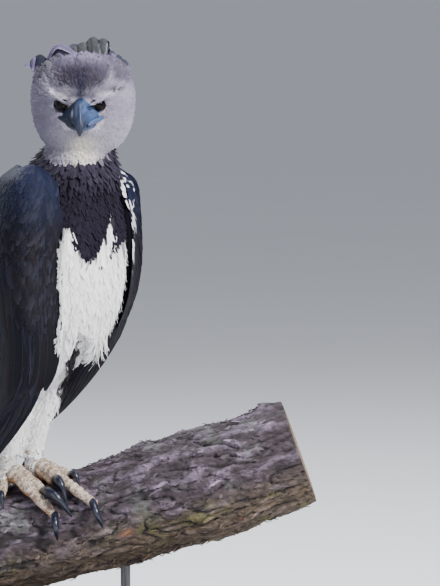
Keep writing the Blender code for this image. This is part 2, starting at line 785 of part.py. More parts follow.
def wing_core(name, wing, body, v_end, rings, steps, finish, eagle):
    """The wing's closed body, from the shoulder to v_end."""
    rows, outs = wing_sheet(wing, body, v_end, rings, steps)
    side = Vector((wing["side"], 1, 1))
    loops = []
    for i, (row, out_row) in enumerate(zip(rows, outs)):
        v = v_end * i / (rings - 1)
        inner = [p - n * wing_depth(k / (steps - 1), v) for k, (p, n) in enumerate(zip(row, out_row))]
        loops.append([p * side for p in row + list(reversed(inner))])
    return loft(name, loops, finish, eagle)


def wing_frame(u, v, wing, body):
    """A point of a wing's outer surface with the way out from it, as for the left side."""
    step = 0.03
    across = wing_point(min(1.0, u + step), v, wing, body) - wing_point(max(0.0, u - step), v, wing, body)
    along = wing_point(u, min(1.0, v + step), wing, body) - wing_point(u, max(0.0, v - step), wing, body)
    point = wing_point(u, v, wing, body)
    normal = across.cross(along).normalized()
    middle = Vector((0, point.y * 0.4, point.z))
    return point, normal if normal.dot(point - middle) > 0 else -normal


def wing_vane(name, wing, body, root, tip, half, lift, finish, eagle, steps=5):
    """A feather laid along the wing from root to tip (u, v), its root sunk in the wing and its edge nearer the
    front raised over the feather before it."""
    path, outs = [], []
    side = Vector((wing["side"], 1, 1))
    for i in range(steps):
        t = i / (steps - 1)
        point, out = wing_frame(root[0] + (tip[0] - root[0]) * t, root[1] + (tip[1] - root[1]) * t, wing, body)
        path.append(point + out * (lift * min(1.0, 0.2 + 3 * t) - VANE_SINK * (1 - min(1.0, 3 * t))))
        outs.append(out)
    tilted = []
    for i, out in enumerate(outs):
        heading = (path[min(steps - 1, i + 1)] - path[max(0, i - 1)]).normalized()
        tilted.append((Matrix.Rotation(VANE_TILT, 3, heading) @ out) * side)
    path = [p * side for p in path]
    return vane(name, path, tilted, feather_widths(steps, half), finish, eagle, 0.10)


def make_wing(name, torso, eagle):
    """One folded wing: its arm, then its primaries, secondaries and coverts in tiers over one another."""
    finish = material("wing_slate", (0.05, 0.055, 0.07), 0.6)
    wing = WINGS[name]
    side = Vector((wing["side"], 1, 1))
    faces = [list(p.vertices)[:: wing["side"]] for p in torso.data.polygons]
    body = BVHTree.FromPolygons([v.co * side for v in torso.data.vertices], faces)
    core = wing_core(name, wing, body, WING_CORE_END, 8, 7, finish, eagle)
    feathers = []
    for count, root_u, root_v, tip_u, tip_v, half, lift, steps in WING_TIERS:
        for k in range(count):
            share = k / max(1, count - 1)
            shift = random.uniform(-0.01, 0.01)
            root = (root_u[0] + (root_u[1] - root_u[0]) * share, root_v[0] + (root_v[1] - root_v[0]) * share)
            tip = (tip_u[0] + (tip_u[1] - tip_u[0]) * share, tip_v[0] + (tip_v[1] - tip_v[0]) * share + shift)
            feathers.append(wing_vane(name, wing, body, root, tip, half, lift, finish, eagle, steps))
    return joined(core, feathers)


def eagle_matrix():
    """The bird's frame in the world."""
    return Matrix.Translation(FEET) @ Matrix.Rotation(BODY_YAW, 4, "Z")


def on_branch(x, degrees, height):
    """A world point over the branch: x from the feet in centimetres, degrees towards the viewer, height in metres
    above the bark."""
    middle, radius = branch_at(x * CM)
    ahead, _ = branch_at(x * CM + 0.01)
    heading = (ahead - middle).normalized()
    up = Vector((0, -1, 0)).cross(heading)
    reach = radius + height
    angle = math.radians(degrees)
    return middle + up * (reach * math.cos(angle)) + Vector((0, -reach * math.sin(angle), 0))


def away_from_branch(point):
    """The way out from the branch's middle line at a world point."""
    middle, _ = branch_at(point.x - FEET.x)
    return (point - middle).normalized()


def between(a, b, share):
    """A place between two (x, degrees) places on the branch."""
    return a[0] + (b[0] - a[0]) * share, a[1] + (b[1] - a[1]) * share


def thigh_rings(foot, sides=14, count=8):
    """Rings of one feathered thigh, from inside the body down over the shank."""
    ankle = eagle_matrix().inverted() @ on_branch(*foot["middle"], ANKLE_HEIGHT)
    rings = []
    for i in range(count):
        share = i / (count - 1)
        forward, out, up, wide, deep = smooth_at(THIGH, share)
        centre = Vector((foot["side"] * out, -forward, up)) * CM
        follow = share**1.6
        centre.x += (ankle.x - centre.x) * follow
        centre.y += (ankle.y - centre.y) * follow
        rings.append(oval(centre, Vector((1, 0, 0)), Vector((0, -1, 0)), wide * CM, deep * CM, sides))
    return rings


def make_thigh(name, foot, eagle):
    """The white feathered thigh."""
    return loft("thigh_" + name, thigh_rings(foot), material("belly_white", (0.82, 0.82, 0.80), 0.85), eagle)


def toe_rings(root, tip, share_wide, sides=8, plates=5):
    """Rings of a toe laid on the branch: a pad at each joint below, and plates raised one after another on top."""
    rings = []
    for i in range(2 * plates + 1):
        step, within = divmod(i, 2)
        share = min(1.0, (step + within * 0.86) / plates)
        height = 0.016 * (1 - share) ** 1.5 + 0.0075
        point = on_branch(*between(root, tip, share), height)
        before = on_branch(*between(root, tip, share - 0.04), height)
        after = on_branch(*between(root, tip, share + 0.04), height)
        heading = (after - before).normalized()
        radius = share_wide * (TOE_ROOT_RADIUS + (TOE_TIP_RADIUS - TOE_ROOT_RADIUS) * share)
        across = heading.cross(away_from_branch(point)).normalized()
        up = across.cross(heading)
        pad = 1 + 0.10 * math.cos(2 * math.pi * 2.5 * share)
        ring = []
        for k in range(sides):
            angle = 2 * math.pi * k / sides + math.pi / 2
            raised = SCUTE_RISE * within * max(0.0, math.sin(angle)) ** 0.5
            reach = radius * (pad if math.sin(angle) < 0 else 1.0) + raised
            ring.append(point + across * (reach * math.cos(angle)) + up * (reach * math.sin(angle)))
        rings.append(ring)
    return rings


def claw_rings(root, tip, claw_tip, radius, sides=8, count=7):
    """Rings of a claw that arches from the toe's end down to its point."""
    start, end = on_branch(*tip, 0.009), on_branch(*claw_tip, 0.0035)
    away = (away_from_branch(start) + away_from_branch(end)).normalized()
    behind = on_branch(*between(root, tip, 0.94), 0.009)
    arch = (end - start).length * CLAW_ARCH
    path = []
    for i in range(count):
        share = i / (count - 1)
        path.append(behind.lerp(end, share) + away * (arch * math.sin(math.pi * share**0.85)))
    radii = [radius * (1 - i / (count - 1)) ** 0.7 + 0.0006 for i in range(count)]
    rings = []
    for i, point in enumerate(path):
        heading = (path[min(count - 1, i + 1)] - path[max(0, i - 1)]).normalized()
        across = heading.cross(away).normalized()
        rings.append(oval(point, across, across.cross(heading), radii[i] * 0.8, radii[i], sides))
    return rings


def moved(rings, matrix):
    """Rings of points moved by a matrix."""
    return [[matrix @ p for p in ring] for ring in rings]


def make_foot(name, foot, eagle):
    """The shank, the foot with its four toes, and the claws."""
    skin = material("leg_skin", (0.72, 0.62, 0.42), 0.6)
    horn = material("claw_horn", (0.03, 0.03, 0.035), 0.25)
    to_eagle = eagle_matrix().inverted()
    base = to_eagle @ on_branch(*foot["middle"], 0.018)
    top = base + Vector((0, 0.004, SHANK_LENGTH))
    shank_path = [base.lerp(top, t) for t in (0.0, 0.3, 0.6, 1.0)]
    shank_radii = [SHANK_RADIUS * k for k in (1.05, 0.96, 0.97, 1.04)]
    shank = loft("shank_" + name, tube_rings(shank_path, shank_radii, Vector((0, 1, 0)), 10), skin, eagle)
    bm = bmesh.new()
    bmesh.ops.create_icosphere(bm, subdivisions=2, radius=FOOT_RADIUS)
    bm.transform(Matrix.Diagonal((1, 1, FOOT_FLATNESS, 1)))
    bm.transform(Matrix.Translation(to_eagle @ on_branch(*foot["middle"], 0.013)))
    pad = add_object("foot_" + name, bm, skin, eagle)
    pieces, claws = [], []
    for toe, (root, tip, claw_tip, wide, claw_radius) in foot["toes"].items():
        pieces.append(loft(f"toe_{toe}_{name}", moved(toe_rings(root, tip, wide), to_eagle), skin, eagle))
        rings = moved(claw_rings(root, tip, claw_tip, claw_radius), to_eagle)
        claws.append(loft(f"claw_{toe}_{name}", rings, horn, eagle))
    joined(pad, pieces)
    return pad, claws, shank


def make_tail(eagle):
    """The tail: its coverts at the root, and twelve feathers with the middle pair on top."""
    finish = material("tail_dark", (0.07, 0.07, 0.075), 0.6)
    down = Vector((0, math.cos(TAIL_DROP), -math.sin(TAIL_DROP)))
    face = Vector((0, math.sin(TAIL_DROP), math.cos(TAIL_DROP)))
    rings = []
    for share, half, thick in TAIL_COVERTS:
        rings.append(oval(TAIL_ROOT + down * (TAIL_LENGTH * share), Vector((1, 0, 0)), face, half, thick, 12))
    root = loft("tail", rings, finish, eagle)
    feathers = []
    for k in range(TAIL_PAIRS):
        for side in (1, -1):
            layer = 2 * k + (side < 0)
            fan = side * TAIL_FAN * (k + 1)
            length = TAIL_LENGTH * (1 - 0.012 * k) + random.uniform(-0.003, 0.003)
            path, outs = [], []
            for i in range(TAIL_STEPS):
                t = 0.08 + 0.92 * i / (TAIL_STEPS - 1)
                point = TAIL_ROOT + down * (length * t) + Vector((1, 0, 0)) * (length * t * math.sin(fan))
                drop = TAIL_LAYER * layer * min(1.0, 3 * t) + TAIL_DROOP * t * t
                path.append(point - face * drop)
                outs.append(face)
            widths = feather_widths(TAIL_STEPS, TAIL_HALF)
            feathers.append(vane("tail", path, outs, widths, finish, eagle, 0.05))
    return joined(root, feathers)


def make_eagle():
    """The whole bird, under one empty. The pieces come back in the order in which they give way to each other."""
    eagle = bpy.data.objects.new("eagle", None)
    PARTS.objects.link(eagle)
    eagle.location = FEET
    eagle.rotation_euler.z = BODY_YAW
    bpy.context.view_layer.update()
    white = material("torso_white", (0.80, 0.80, 0.80), 0.85)
    dark = material("collar_dark", (0.07, 0.065, 0.075), 0.8)
    torso = loft("torso", body_rings(TORSO, 14, 20, TORSO_SWAY), white, eagle)
    neck = loft("neck", body_rings(NECK, 6, 16, NECK_SWAY), dark, eagle)
    eyes = [make_eye(side, eagle) for side in (1, -1)]
    head = make_head(eagle)
    bill = make_bill(eagle)
    pads, claws, shanks = [], [], []
    for name, foot in FEET_PLACES.items():
        pad, foot_claws, shank = make_foot(name, foot, eagle)
        pads.append(pad)
        claws.extend(foot_claws)
        shanks.append(shank)
    thighs = [make_thigh(name, foot, eagle) for name, foot in FEET_PLACES.items()]
    wings = [make_wing(name, torso, eagle) for name in WINGS]
    crest = [make_crest(side, eagle) for side in (1, -1)]
    return [*eyes, head, torso, neck, *bill, *crest, make_tail(eagle), *pads, *claws, *thighs, *shanks, *wings]


for old in list(bpy.data.objects):
    bpy.data.objects.remove(old)
random.seed(7)
PARTS = bpy.data.collections.new("harpy_eagle")
CUTTERS = bpy.data.collections.new("cutters")
CUTTERS.hide_render = True
for group in (PARTS, CUTTERS):
    bpy.context.scene.collection.children.link(group)
settle([make_branch(), *make_stand(), *make_eagle()])
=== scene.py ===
"""The looks of a harpy eagle on a cut length of branch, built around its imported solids.

The bird has its own frame: x towards its left side, y towards its tail, z up, with the origin between its feet on
top of the branch. Tables of stations are in centimetres, all other sizes in metres.
"""

import math
from bisect import bisect_right

import bmesh
import bpy
import numpy as np
from mathutils import Matrix, Vector, noise
from mathutils.bvhtree import BVHTree


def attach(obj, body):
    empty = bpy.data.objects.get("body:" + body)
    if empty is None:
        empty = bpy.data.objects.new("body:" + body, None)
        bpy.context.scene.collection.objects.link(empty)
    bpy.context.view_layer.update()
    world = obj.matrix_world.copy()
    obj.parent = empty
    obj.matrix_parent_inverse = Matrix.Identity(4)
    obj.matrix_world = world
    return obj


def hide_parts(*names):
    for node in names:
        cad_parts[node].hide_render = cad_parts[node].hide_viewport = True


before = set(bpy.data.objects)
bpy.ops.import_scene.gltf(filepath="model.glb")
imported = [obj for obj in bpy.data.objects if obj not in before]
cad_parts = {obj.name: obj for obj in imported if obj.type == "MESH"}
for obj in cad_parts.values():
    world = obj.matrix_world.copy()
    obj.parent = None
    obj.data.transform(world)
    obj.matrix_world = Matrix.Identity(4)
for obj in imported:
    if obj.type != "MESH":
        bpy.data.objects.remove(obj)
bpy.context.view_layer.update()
RANDOM = np.random.default_rng(11)

CM = 0.01
IMAGE = (440, 586)

# The photograph's view: metres for each pixel at the bird, the pixel of the origin, and the camera
PIXEL = 0.0016
ORIGIN_PIXEL = (84.0, 482.0)
CAMERA_DISTANCE = 6.0
CAMERA_TILT = math.radians(4.5)
SENSOR = 36.0

# Where the feet stand and how the body is turned
FEET = Vector((-0.085, 0.010, 0.325))
BODY_YAW = math.radians(47)
TO_WORLD = Matrix.Translation(FEET) @ Matrix.Rotation(BODY_YAW, 4, "Z")
TO_BIRD = TO_WORLD.inverted()

# Branch: stations along world X from the feet, with the height of its middle and its radius, in centimetres
BRANCH = (
    (-22.0, (-13.9, 8.5)),
    (-10.0, (-11.3, 8.5)),
    (0.0, (-8.9, 8.4)),
    (10.0, (-6.2, 8.4)),
    (20.0, (-3.1, 8.9)),
    (28.0, (-0.8, 9.1)),
    (36.0, (1.9, 8.6)),
    (43.0, (4.4, 8.3)),
)
BRANCH_Y = 0.008
BARK_RELIEF = 0.0035

# Head
HEAD_CENTRE = Vector((-0.0045, -0.1230, 0.618))
HEAD_YAW = -BODY_YAW - math.radians(1)
HEAD_PITCH = math.radians(16)
HEAD_TURN = Matrix.Rotation(HEAD_YAW, 4, "Z") @ Matrix.Rotation(HEAD_PITCH, 4, "X")
HEAD_TO_BIRD = Matrix.Translation(HEAD_CENTRE) @ HEAD_TURN
HEAD_TO_WORLD = TO_WORLD @ HEAD_TO_BIRD
HEAD_HALF_WIDTH = 0.084
HEAD_FRONT = 0.068
HEAD_BACK = 0.072
HEAD_UP = 0.069
HEAD_DOWN = 0.099
HEAD_SQUARENESS = 2.4
FOREHEAD_PLACE = Vector((0, -0.62, 0.78))
FOREHEAD_RISE = 0.0045
FOREHEAD_SPREAD = 0.42
BROW_PLACES = (Vector((0.36, -0.88, 0.27)), Vector((0.55, -0.76, 0.24)))
BROW_RISE = 0.0055
BROW_SPREAD = 0.15
SOCKET_DEPTH = 0.0040
SOCKET_SPREAD = 0.26
EYE_RADIUS = 0.0108
EYE_DIRECTION = Vector((0.43, -0.895, 0.095))
EYE_STANDS_OUT = 0.0036
EYE_LOOKS = Vector((0.42, -0.90, 0.0))

# Bill: stations from its root to its tip: forward, height of the ridge, height of the edge and half width, in
# centimetres
UPPER_BILL = (
    (0.00, (4.4, 1.6, -1.8, 3.8)),
    (0.20, (5.8, 1.7, -1.8, 3.9)),
    (0.40, (7.2, 1.6, -1.8, 3.0)),
    (0.60, (8.6, 1.0, -1.8, 1.90)),
    (0.78, (9.7, 0.0, -2.0, 1.25)),
    (0.90, (10.3, -1.1, -2.4, 0.85)),
    (1.00, (10.6, -2.4, -3.1, 0.28)),
)
LOWER_BILL = (
    (0.00, (4.4, -1.85, -3.0, 3.0)),
    (0.35, (6.6, -1.85, -3.1, 2.3)),
    (0.70, (8.4, -1.85, -2.9, 1.3)),
    (1.00, (9.5, -2.05, -2.5, 0.7)),
)
BILL_PINCH = 0.80
BILL_SQUARENESS = 0.40
CERE_END = 0.52
CERE_STEP = 0.06

# Folded wing: its front and back edges from shoulder to tip, forward, up and out, in centimetres
WING_FRONT = (
    (0.00, (9.8, 50.4, 8.4)),
    (0.10, (13.2, 47.4, 8.4)),
    (0.25, (14.2, 40.0, 8.0)),
    (0.40, (13.8, 32.0, 8.2)),
    (0.52, (11.6, 25.0, 8.8)),
    (0.65, (6.4, 17.8, 9.2)),
    (0.80, (-1.8, 10.2, 8.6)),
    (0.92, (-9.5, 5.0, 7.2)),
    (1.00, (-15.5, 2.0, 5.6)),
)
WING_BACK = (
    (0.00, (5.2, 49.4, 7.4)),
    (0.10, (-1.2, 47.0, 3.8)),
    (0.25, (-5.6, 42.0, 2.4)),
    (0.40, (-8.8, 35.5, 1.6)),
    (0.52, (-11.4, 29.0, 1.4)),
    (0.65, (-13.8, 21.5, 1.6)),
    (0.80, (-16.2, 13.0, 2.4)),
    (0.92, (-18.4, 6.5, 3.2)),
    (1.00, (-19.8, 2.6, 4.0)),
)
WING_BULGE = (
    (0.00, (0.9,)),
    (0.10, (5.5,)),
    (0.25, (7.6,)),
    (0.40, (7.9,)),
    (0.52, (6.8,)),
    (0.65, (5.1,)),
    (0.80, (3.0,)),
    (0.92, (1.5,)),
    (1.00, (0.3,)),
)
WINGS = {
    "wing_left": {"side": 1, "loose": Vector((-0.004, 0.010, 0)), "lift": 0.0, "front_back": 0.025},
    "wing_right": {"side": -1, "loose": Vector((0, -0.056, -0.028)), "lift": 0.009, "front_back": -0.014},
}
WING_CLEAR = 0.011
WING_THICK = 0.020
WING_MIDLINE = 0.003
LOOSE_FROM = 0.34
LOOSE_TO = 0.72
WING_CORE_END = 0.60

# Feet on the branch: distance along world X from the midpoint, in centimetres, and angle from the branch's top
# towards the viewer, in degrees. Toe: root, tip, claw tip, toe width as a share, claw root radius in metres
SHANK_RADIUS = 0.0155
SHANK_LENGTH = 0.050
FOOT_RADIUS = 0.0195
FOOT_FLATNESS = 0.85
TOE_ROOT_RADIUS = 0.0112
TOE_TIP_RADIUS = 0.0076
CLAW_ARCH = 0.50
FEET_PLACES = {
    "right": {
        "middle": (-1.3, 3),
        "toes": {
            "outer": ((-1.6, 8), (-2.9, 33), (-2.9, 48), 0.86, 0.0056),
            "middle": ((-0.4, 14), (5.2, 74), (4.2, 96), 0.96, 0.0062),
            "inner": ((0.3, 8), (4.3, 45), (7.3, 77), 1.06, 0.0080),
            "hind": ((-2.0, -10), (-5.2, -42), (-7.4, -92), 1.10, 0.0088),
        },
    },
    "left": {
        "middle": (3.0, 1),
        "toes": {
            "inner": ((3.5, 8), (6.3, 33), (7.0, 64), 1.06, 0.0080),
            "middle": ((4.3, 12), (11.5, 72), (11.4, 96), 0.96, 0.0062),
            "outer": ((4.5, 4), (9.1, 31), (9.6, 46), 0.86, 0.0056),
            "hind": ((2.1, -12), (-0.6, -44), (-2.4, -94), 1.10, 0.0088),
        },
    },
}

# Tail: from the rump down behind the branch
TAIL_ROOT = Vector((0.0, 0.086, 0.150))
TAIL_LENGTH = 0.385
TAIL_DROP = math.radians(56)
TAIL_PAIRS = 6
TAIL_FAN = math.radians(0.95)
TAIL_DROOP = 0.012
TAIL_HALF = 0.026
TAIL_LAYER = 0.0019


def smooth_at(stations, place):
    """Values at one place on smooth curves through (place, values) stations."""
    places = [p for p, _ in stations]
    i = max(0, min(len(places) - 2, bisect_right(places, place) - 1))
    near = [max(0, i - 1), i, i + 1, min(len(places) - 1, i + 2)]
    p0, p1, p2, p3 = (places[k] for k in near)
    v0, v1, v2, v3 = (stations[k][1] for k in near)
    span = p2 - p1
    t = min(1.0, max(0.0, (place - p1) / span))
    h00, h10 = 2 * t**3 - 3 * t**2 + 1, t**3 - 2 * t**2 + t
    h01, h11 = -2 * t**3 + 3 * t**2, t**3 - t**2
    values = []
    for a, b, c, d in zip(v0, v1, v2, v3):
        slope_in = (c - a) / (p2 - p0) * span
        slope_out = (d - b) / (p3 - p1) * span
        values.append(h00 * b + h10 * slope_in + h01 * c + h11 * slope_out)
    return values


def unit(vectors):
    """Vectors of length one along the last axis."""
    return vectors / np.maximum(np.linalg.norm(vectors, axis=-1, keepdims=True), 1e-9)


def soft_step(values, low, high):
    """A smooth step from 0 at low to 1 at high."""
    t = np.clip((values - low) / (high - low), 0, 1)
    return t * t * (3 - 2 * t)


def transformed(points, matrix):
    """Points moved by a 4x4 matrix."""
    m = np.array(matrix)
    return points @ m[:3, :3].T + m[:3, 3]


def turned(vectors, matrix):
    """Directions turned by a 4x4 matrix."""
    return vectors @ np.array(matrix)[:3, :3].T


def noise_at(points, scale, seed=0.0):
    """Smooth noise from -1 to 1 at many points."""
    return np.array([noise.noise(Vector(p) * scale + Vector((seed, seed, seed))) for p in points])


def mesh_piece(name, points, faces, finish, colours=None, vane=None, corner_map=None, smooth=True):
    """A mesh object from arrays: points, a list of face arrays, and values held at its points."""
    mesh = bpy.data.meshes.new(name)
    loops = np.concatenate([f.ravel() for f in faces]).astype(np.int32)
    sizes = np.concatenate([np.full(len(f), f.shape[1]) for f in faces])
    starts = np.concatenate([[0], np.cumsum(sizes)[:-1]]).astype(np.int32)
    mesh.vertices.add(len(points))
    mesh.vertices.foreach_set("co", np.asarray(points, dtype=np.float32).ravel())
    mesh.loops.add(len(loops))
    mesh.loops.foreach_set("vertex_index", loops)
    mesh.polygons.add(len(sizes))
    mesh.polygons.foreach_set("loop_start", starts)
    mesh.update(calc_edges=True)
    mesh.polygons.foreach_set("use_smooth", np.full(len(sizes), smooth))
    if colours is not None:
        layer = mesh.attributes.new("tone", "FLOAT_COLOR", "POINT")
        packed = np.column_stack([colours, np.ones(len(points))]).astype(np.float32)
        layer.data.foreach_set("color", packed.ravel())
    if vane is not None:
        layer = mesh.attributes.new("vane", "FLOAT_VECTOR", "POINT")
        layer.data.foreach_set("vector", np.asarray(vane, dtype=np.float32).ravel())
    if corner_map is not None:
        layer = mesh.uv_layers.new(name="OFBake")
        layer.data.foreach_set("uv", np.asarray(corner_map, dtype=np.float32)[loops].ravel())
    made = bpy.data.objects.new(name, mesh)
    bpy.context.scene.collection.objects.link(made)
    mesh.materials.append(finish)
    return made


def part_rims(piece, ring, columns, steps):
    """Shades the upper and under side of joined feathers apart along their rims."""
    ends = np.empty(len(piece.data.edges) * 2, dtype=np.int32)
    piece.data.edges.foreach_get("vertices", ends)
    a, b = ends.reshape(-1, 2).T
    rim = ((a % ring == 0) | (a % ring == columns - 1)) & (a % ring == b % ring)
    row_a, row_b = (a // ring) % steps, (b // ring) % steps
    tip = (row_a == row_b) & ((row_a == 0) | (row_a == steps - 1))
    layer = piece.data.attributes.new("sharp_edge", "BOOLEAN", "EDGE")
    layer.data.foreach_set("value", rim | tip)


def shown_as(piece, slot, *nodes):
    """Lets a piece ride on the still body, in place of the solids that it stands for."""
    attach(piece, "root")
    if nodes:
        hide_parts(*nodes)
    return piece


def mirrored(vector, side):
    """A vector of the left side, or its mirror image on the right."""
    return Vector((side * vector.x, vector.y, vector.z))


def near_hump(direction, place, spread):
    """A soft hump: one at the place, falling away over the spread."""
    return math.exp(-(((direction - place.normalized()).length / spread) ** 2))


def head_reach(direction):
    """Distance from the head's middle to its outline in one direction."""
    deep = HEAD_FRONT if direction.y < 0 else HEAD_BACK
    tall = HEAD_UP if direction.z > 0 else HEAD_DOWN
    power = HEAD_SQUARENESS
    total = abs(direction.x / HEAD_HALF_WIDTH) ** power + abs(direction.y / deep) ** power
    total += abs(direction.z / tall) ** power
    reach = total ** (-1 / power)
    reach += FOREHEAD_RISE * near_hump(direction, FOREHEAD_PLACE, FOREHEAD_SPREAD)
    for side in (-1, 1):
        reach -= SOCKET_DEPTH * near_hump(direction, mirrored(EYE_DIRECTION, side), SOCKET_SPREAD)
        for place in BROW_PLACES:
            reach += BROW_RISE * near_hump(direction, mirrored(place, side), BROW_SPREAD)
    return reach


def eye_matrix(side):
    """Where one eye sits in the world, with its z axis looking out of the head."""
    direction = mirrored(EYE_DIRECTION, side).normalized()
    place = direction * (head_reach(direction) - EYE_RADIUS + EYE_STANDS_OUT)
    look = mirrored(EYE_LOOKS, side).to_track_quat("Z", "Y").to_matrix().to_4x4()
    return HEAD_TO_WORLD @ Matrix.Translation(place) @ look


# Materials
class Nodes:
    """Builds a Principled material's network in few words."""

    def __init__(self, name, roughness, colour=(0.5, 0.5, 0.5), **constants):
        self.finish = bpy.data.materials.new(name)
        self.finish.use_nodes = True
        self.tree = self.finish.node_tree
        self.shader = self.tree.nodes["Principled BSDF"]
        self.shader.inputs["Base Color"].default_value = (*colour, 1)
        self.shader.inputs["Roughness"].default_value = roughness
        for key, value in constants.items():
            self.shader.inputs[key.replace("_", " ")].default_value = value

    def add(self, kind, **sockets):
        """A node with some of its sockets set to numbers or linked."""
        node = self.tree.nodes.new("ShaderNode" + kind)
        for key, value in sockets.items():
            self.put(node, key.replace("_", " "), value)
        return node

    def put(self, node, socket, value):
        """Sets or links one socket."""
        target = node.inputs[int(socket)] if socket.isdigit() else node.inputs[socket]
        if isinstance(value, bpy.types.NodeSocket):
            self.tree.links.new(value, target)
        else:
            target.default_value = value

    def math(self, operation, a, b=0.0, clamp=False):
        """A sum, product or other number worked out of two."""
        node = self.tree.nodes.new("ShaderNodeMath")
        node.operation = operation
        node.use_clamp = clamp
        self.put(node, "0", a)
        self.put(node, "1", b)
        return node.outputs[0]

    def mix(self, share, a, b, blend="MIX"):
        """One colour turned into another."""
        node = self.tree.nodes.new("ShaderNodeMix")
        node.data_type = "RGBA"
        node.blend_type = blend
        node.clamp_factor = True
        for index, value in ((0, share), (6, a), (7, b)):
            if isinstance(value, tuple):
                value = (*value, 1)
            self.put(node, str(index), value)
        return node.outputs[2]

    def step(self, value, low, high, to_low=0.0, to_high=1.0):
        """A smooth step of a value."""
        node = self.tree.nodes.new("ShaderNodeMapRange")
        node.interpolation_type = "SMOOTHSTEP"
        for index, number in enumerate((value, low, high, to_low, to_high)):
            self.put(node, str(index), number)
        return node.outputs[0]

    def place(self):
        """The point on the object in its own metres."""
        return self.add("TexCoord").outputs["Object"]

    def noise(self, scale, detail=4.0, vector=None, roughness=0.5, distortion=0.0):
        """A cloud of values about 0.5."""
        node = self.add("TexNoise", Scale=scale, Detail=detail, Roughness=roughness, Distortion=distortion)
        self.tree.links.new(vector if vector is not None else self.place(), node.inputs["Vector"])
        return node.outputs["Fac"]

    def cells(self, scale, feature="F1", vector=None):
        """Distance to the nearest of many scattered points."""
        node = self.add("TexVoronoi", Scale=scale)
        node.feature = feature
        self.tree.links.new(vector if vector is not None else self.place(), node.inputs["Vector"])
        return node.outputs["Distance"]

    def stretched(self, x, y, z):
        """The point on the object with its axes scaled."""
        node = self.add("Mapping", Vector=self.place(), Scale=(x, y, z))
        return node.outputs["Vector"]

    def tone(self):
        """The colour held at the mesh's points."""
        node = self.add("Attribute")
        node.attribute_name = "tone"
        return node.outputs["Color"]

    def vane(self):
        """Across, along and random values of a feather, held at the mesh's points."""
        node = self.add("Attribute")
        node.attribute_name = "vane"
        split = self.add("SeparateXYZ", Vector=node.outputs["Vector"])
        return split.outputs["X"], split.outputs["Y"], split.outputs["Z"]

    def bump(self, height, distance, strength=1.0):
        """Links a height to the shader as bump."""
        node = self.add("Bump", Height=height, Distance=distance, Strength=strength)
        self.tree.links.new(node.outputs["Normal"], self.shader.inputs["Normal"])

    def colour(self, value):
        """Links a colour to the shader and gives the material back."""
        self.tree.links.new(value, self.shader.inputs["Base Color"])
        return self.finish


def feather_finish(name, edge, edge_share, barb_depth, roughness=0.62, bars=None, shine=0.0, low=0.70, shaft=0.75,
                   gloss=0.18):
    """Feathers: barbs slanting out from a shaft, an edge of another colour and, where the species has them, bars."""
    n = Nodes(name, roughness, Sheen_Weight=shine, Sheen_Roughness=0.4, Specular_IOR_Level=gloss)
    if low > 0.8:
        n.shader.inputs["Subsurface Weight"].default_value = 0.35
        n.shader.inputs["Subsurface Scale"].default_value = 0.004
        n.shader.inputs["Subsurface Radius"].default_value = (1.0, 0.9, 0.9)
    across, along, chance = n.vane()
    aside = n.math("ABSOLUTE", across)
    slant = n.math("SUBTRACT", n.math("MULTIPLY", along, 70.0), n.math("MULTIPLY", aside, 16.0))
    barbs = n.math("SINE", n.math("ADD", slant, n.math("MULTIPLY", chance, 20.0)))
    clumps = n.noise(260.0, 3.0)
    colour = n.tone()
    if bars:
        wave = n.math("SINE", n.math("ADD", n.math("MULTIPLY", along, bars[1]), n.math("MULTIPLY", clumps, 1.5)))
        colour = n.mix(n.step(wave, 0.15, 0.6, 0.0, bars[2]), colour, bars[0])
    rim = n.math("MAXIMUM", n.step(aside, 0.80, 0.99), n.step(along, 0.90, 1.0))
    colour = n.mix(n.math("MULTIPLY", rim, edge_share), colour, edge)
    shade = n.math("ADD", n.math("MULTIPLY", barbs, barb_depth), n.math("MULTIPLY", clumps, 0.5))
    dark = n.step(shade, -0.1, 0.7, low, 1.08)
    quill = n.step(aside, 0.02, 0.08, shaft, 1.0)
    level = n.math("MULTIPLY", dark, quill)
    grey = n.add("CombineXYZ", X=level, Y=level, Z=level)
    colour = n.mix(1.0, colour, grey.outputs[0], "MULTIPLY")
    n.bump(n.math("ADD", barbs, n.math("MULTIPLY", clumps, 2.0)), 0.00025, 0.6)
    return n.colour(colour)


def skin_finish():
    """The skin under the coat, in the coat's own colours."""
    n = Nodes("skin_down", 0.9)
    fluff = n.noise(420.0, 4.0)
    level = n.step(fluff, 0.3, 0.7, 0.78, 0.98)
    grey = n.add("CombineXYZ", X=level, Y=level, Z=level)
    n.bump(fluff, 0.001)
    return n.colour(n.mix(1.0, n.tone(), grey.outputs[0], "MULTIPLY"))


# Skin
SKIN_VOXEL = 0.0029
BROW_PATH = (
    (0.0, (1.20, -8.00, 1.05, 0.26)),
    (0.3, (1.95, -7.90, 1.36, 0.45)),
    (0.6, (3.10, -7.45, 1.84, 0.47)),
    (1.0, (5.00, -6.10, 2.40, 0.30)),
)
HEAD_COAT = 0.0045
DOME_RISE = 0.0026
DOME_GROOVE = 0.0022
FOLD_DEPTH = 0.009
BODY_COAT = 0.0080
THIGH_COAT = 0.0070
FACE_COAT = 0.0016
SKIN_NODES = ("torso", "neck", "head", "thigh_left", "thigh_right")


def solid_copy(names):
    """One mesh of the outsides of several solids."""
    bm = bmesh.new()
    for name in names:
        bm.from_mesh(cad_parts[name].data)
    bmesh.ops.remove_doubles(bm, verts=bm.verts, dist=1e-5)
    for side in (1, -1):
        stations = np.array([smooth_at(BROW_PATH, t) for t in np.linspace(0, 1, 14)]) * CM
        path = stations[:, :3] * np.array((side, 1.0, 1.0))
        add_tube(bm, transformed(rings_along(path, stations[:, 3], np.array((0, 0, 1.0)), 16), HEAD_TO_WORLD))
    mesh = bpy.data.meshes.new("flesh")
    bm.to_mesh(mesh)
    bm.free()
    return mesh


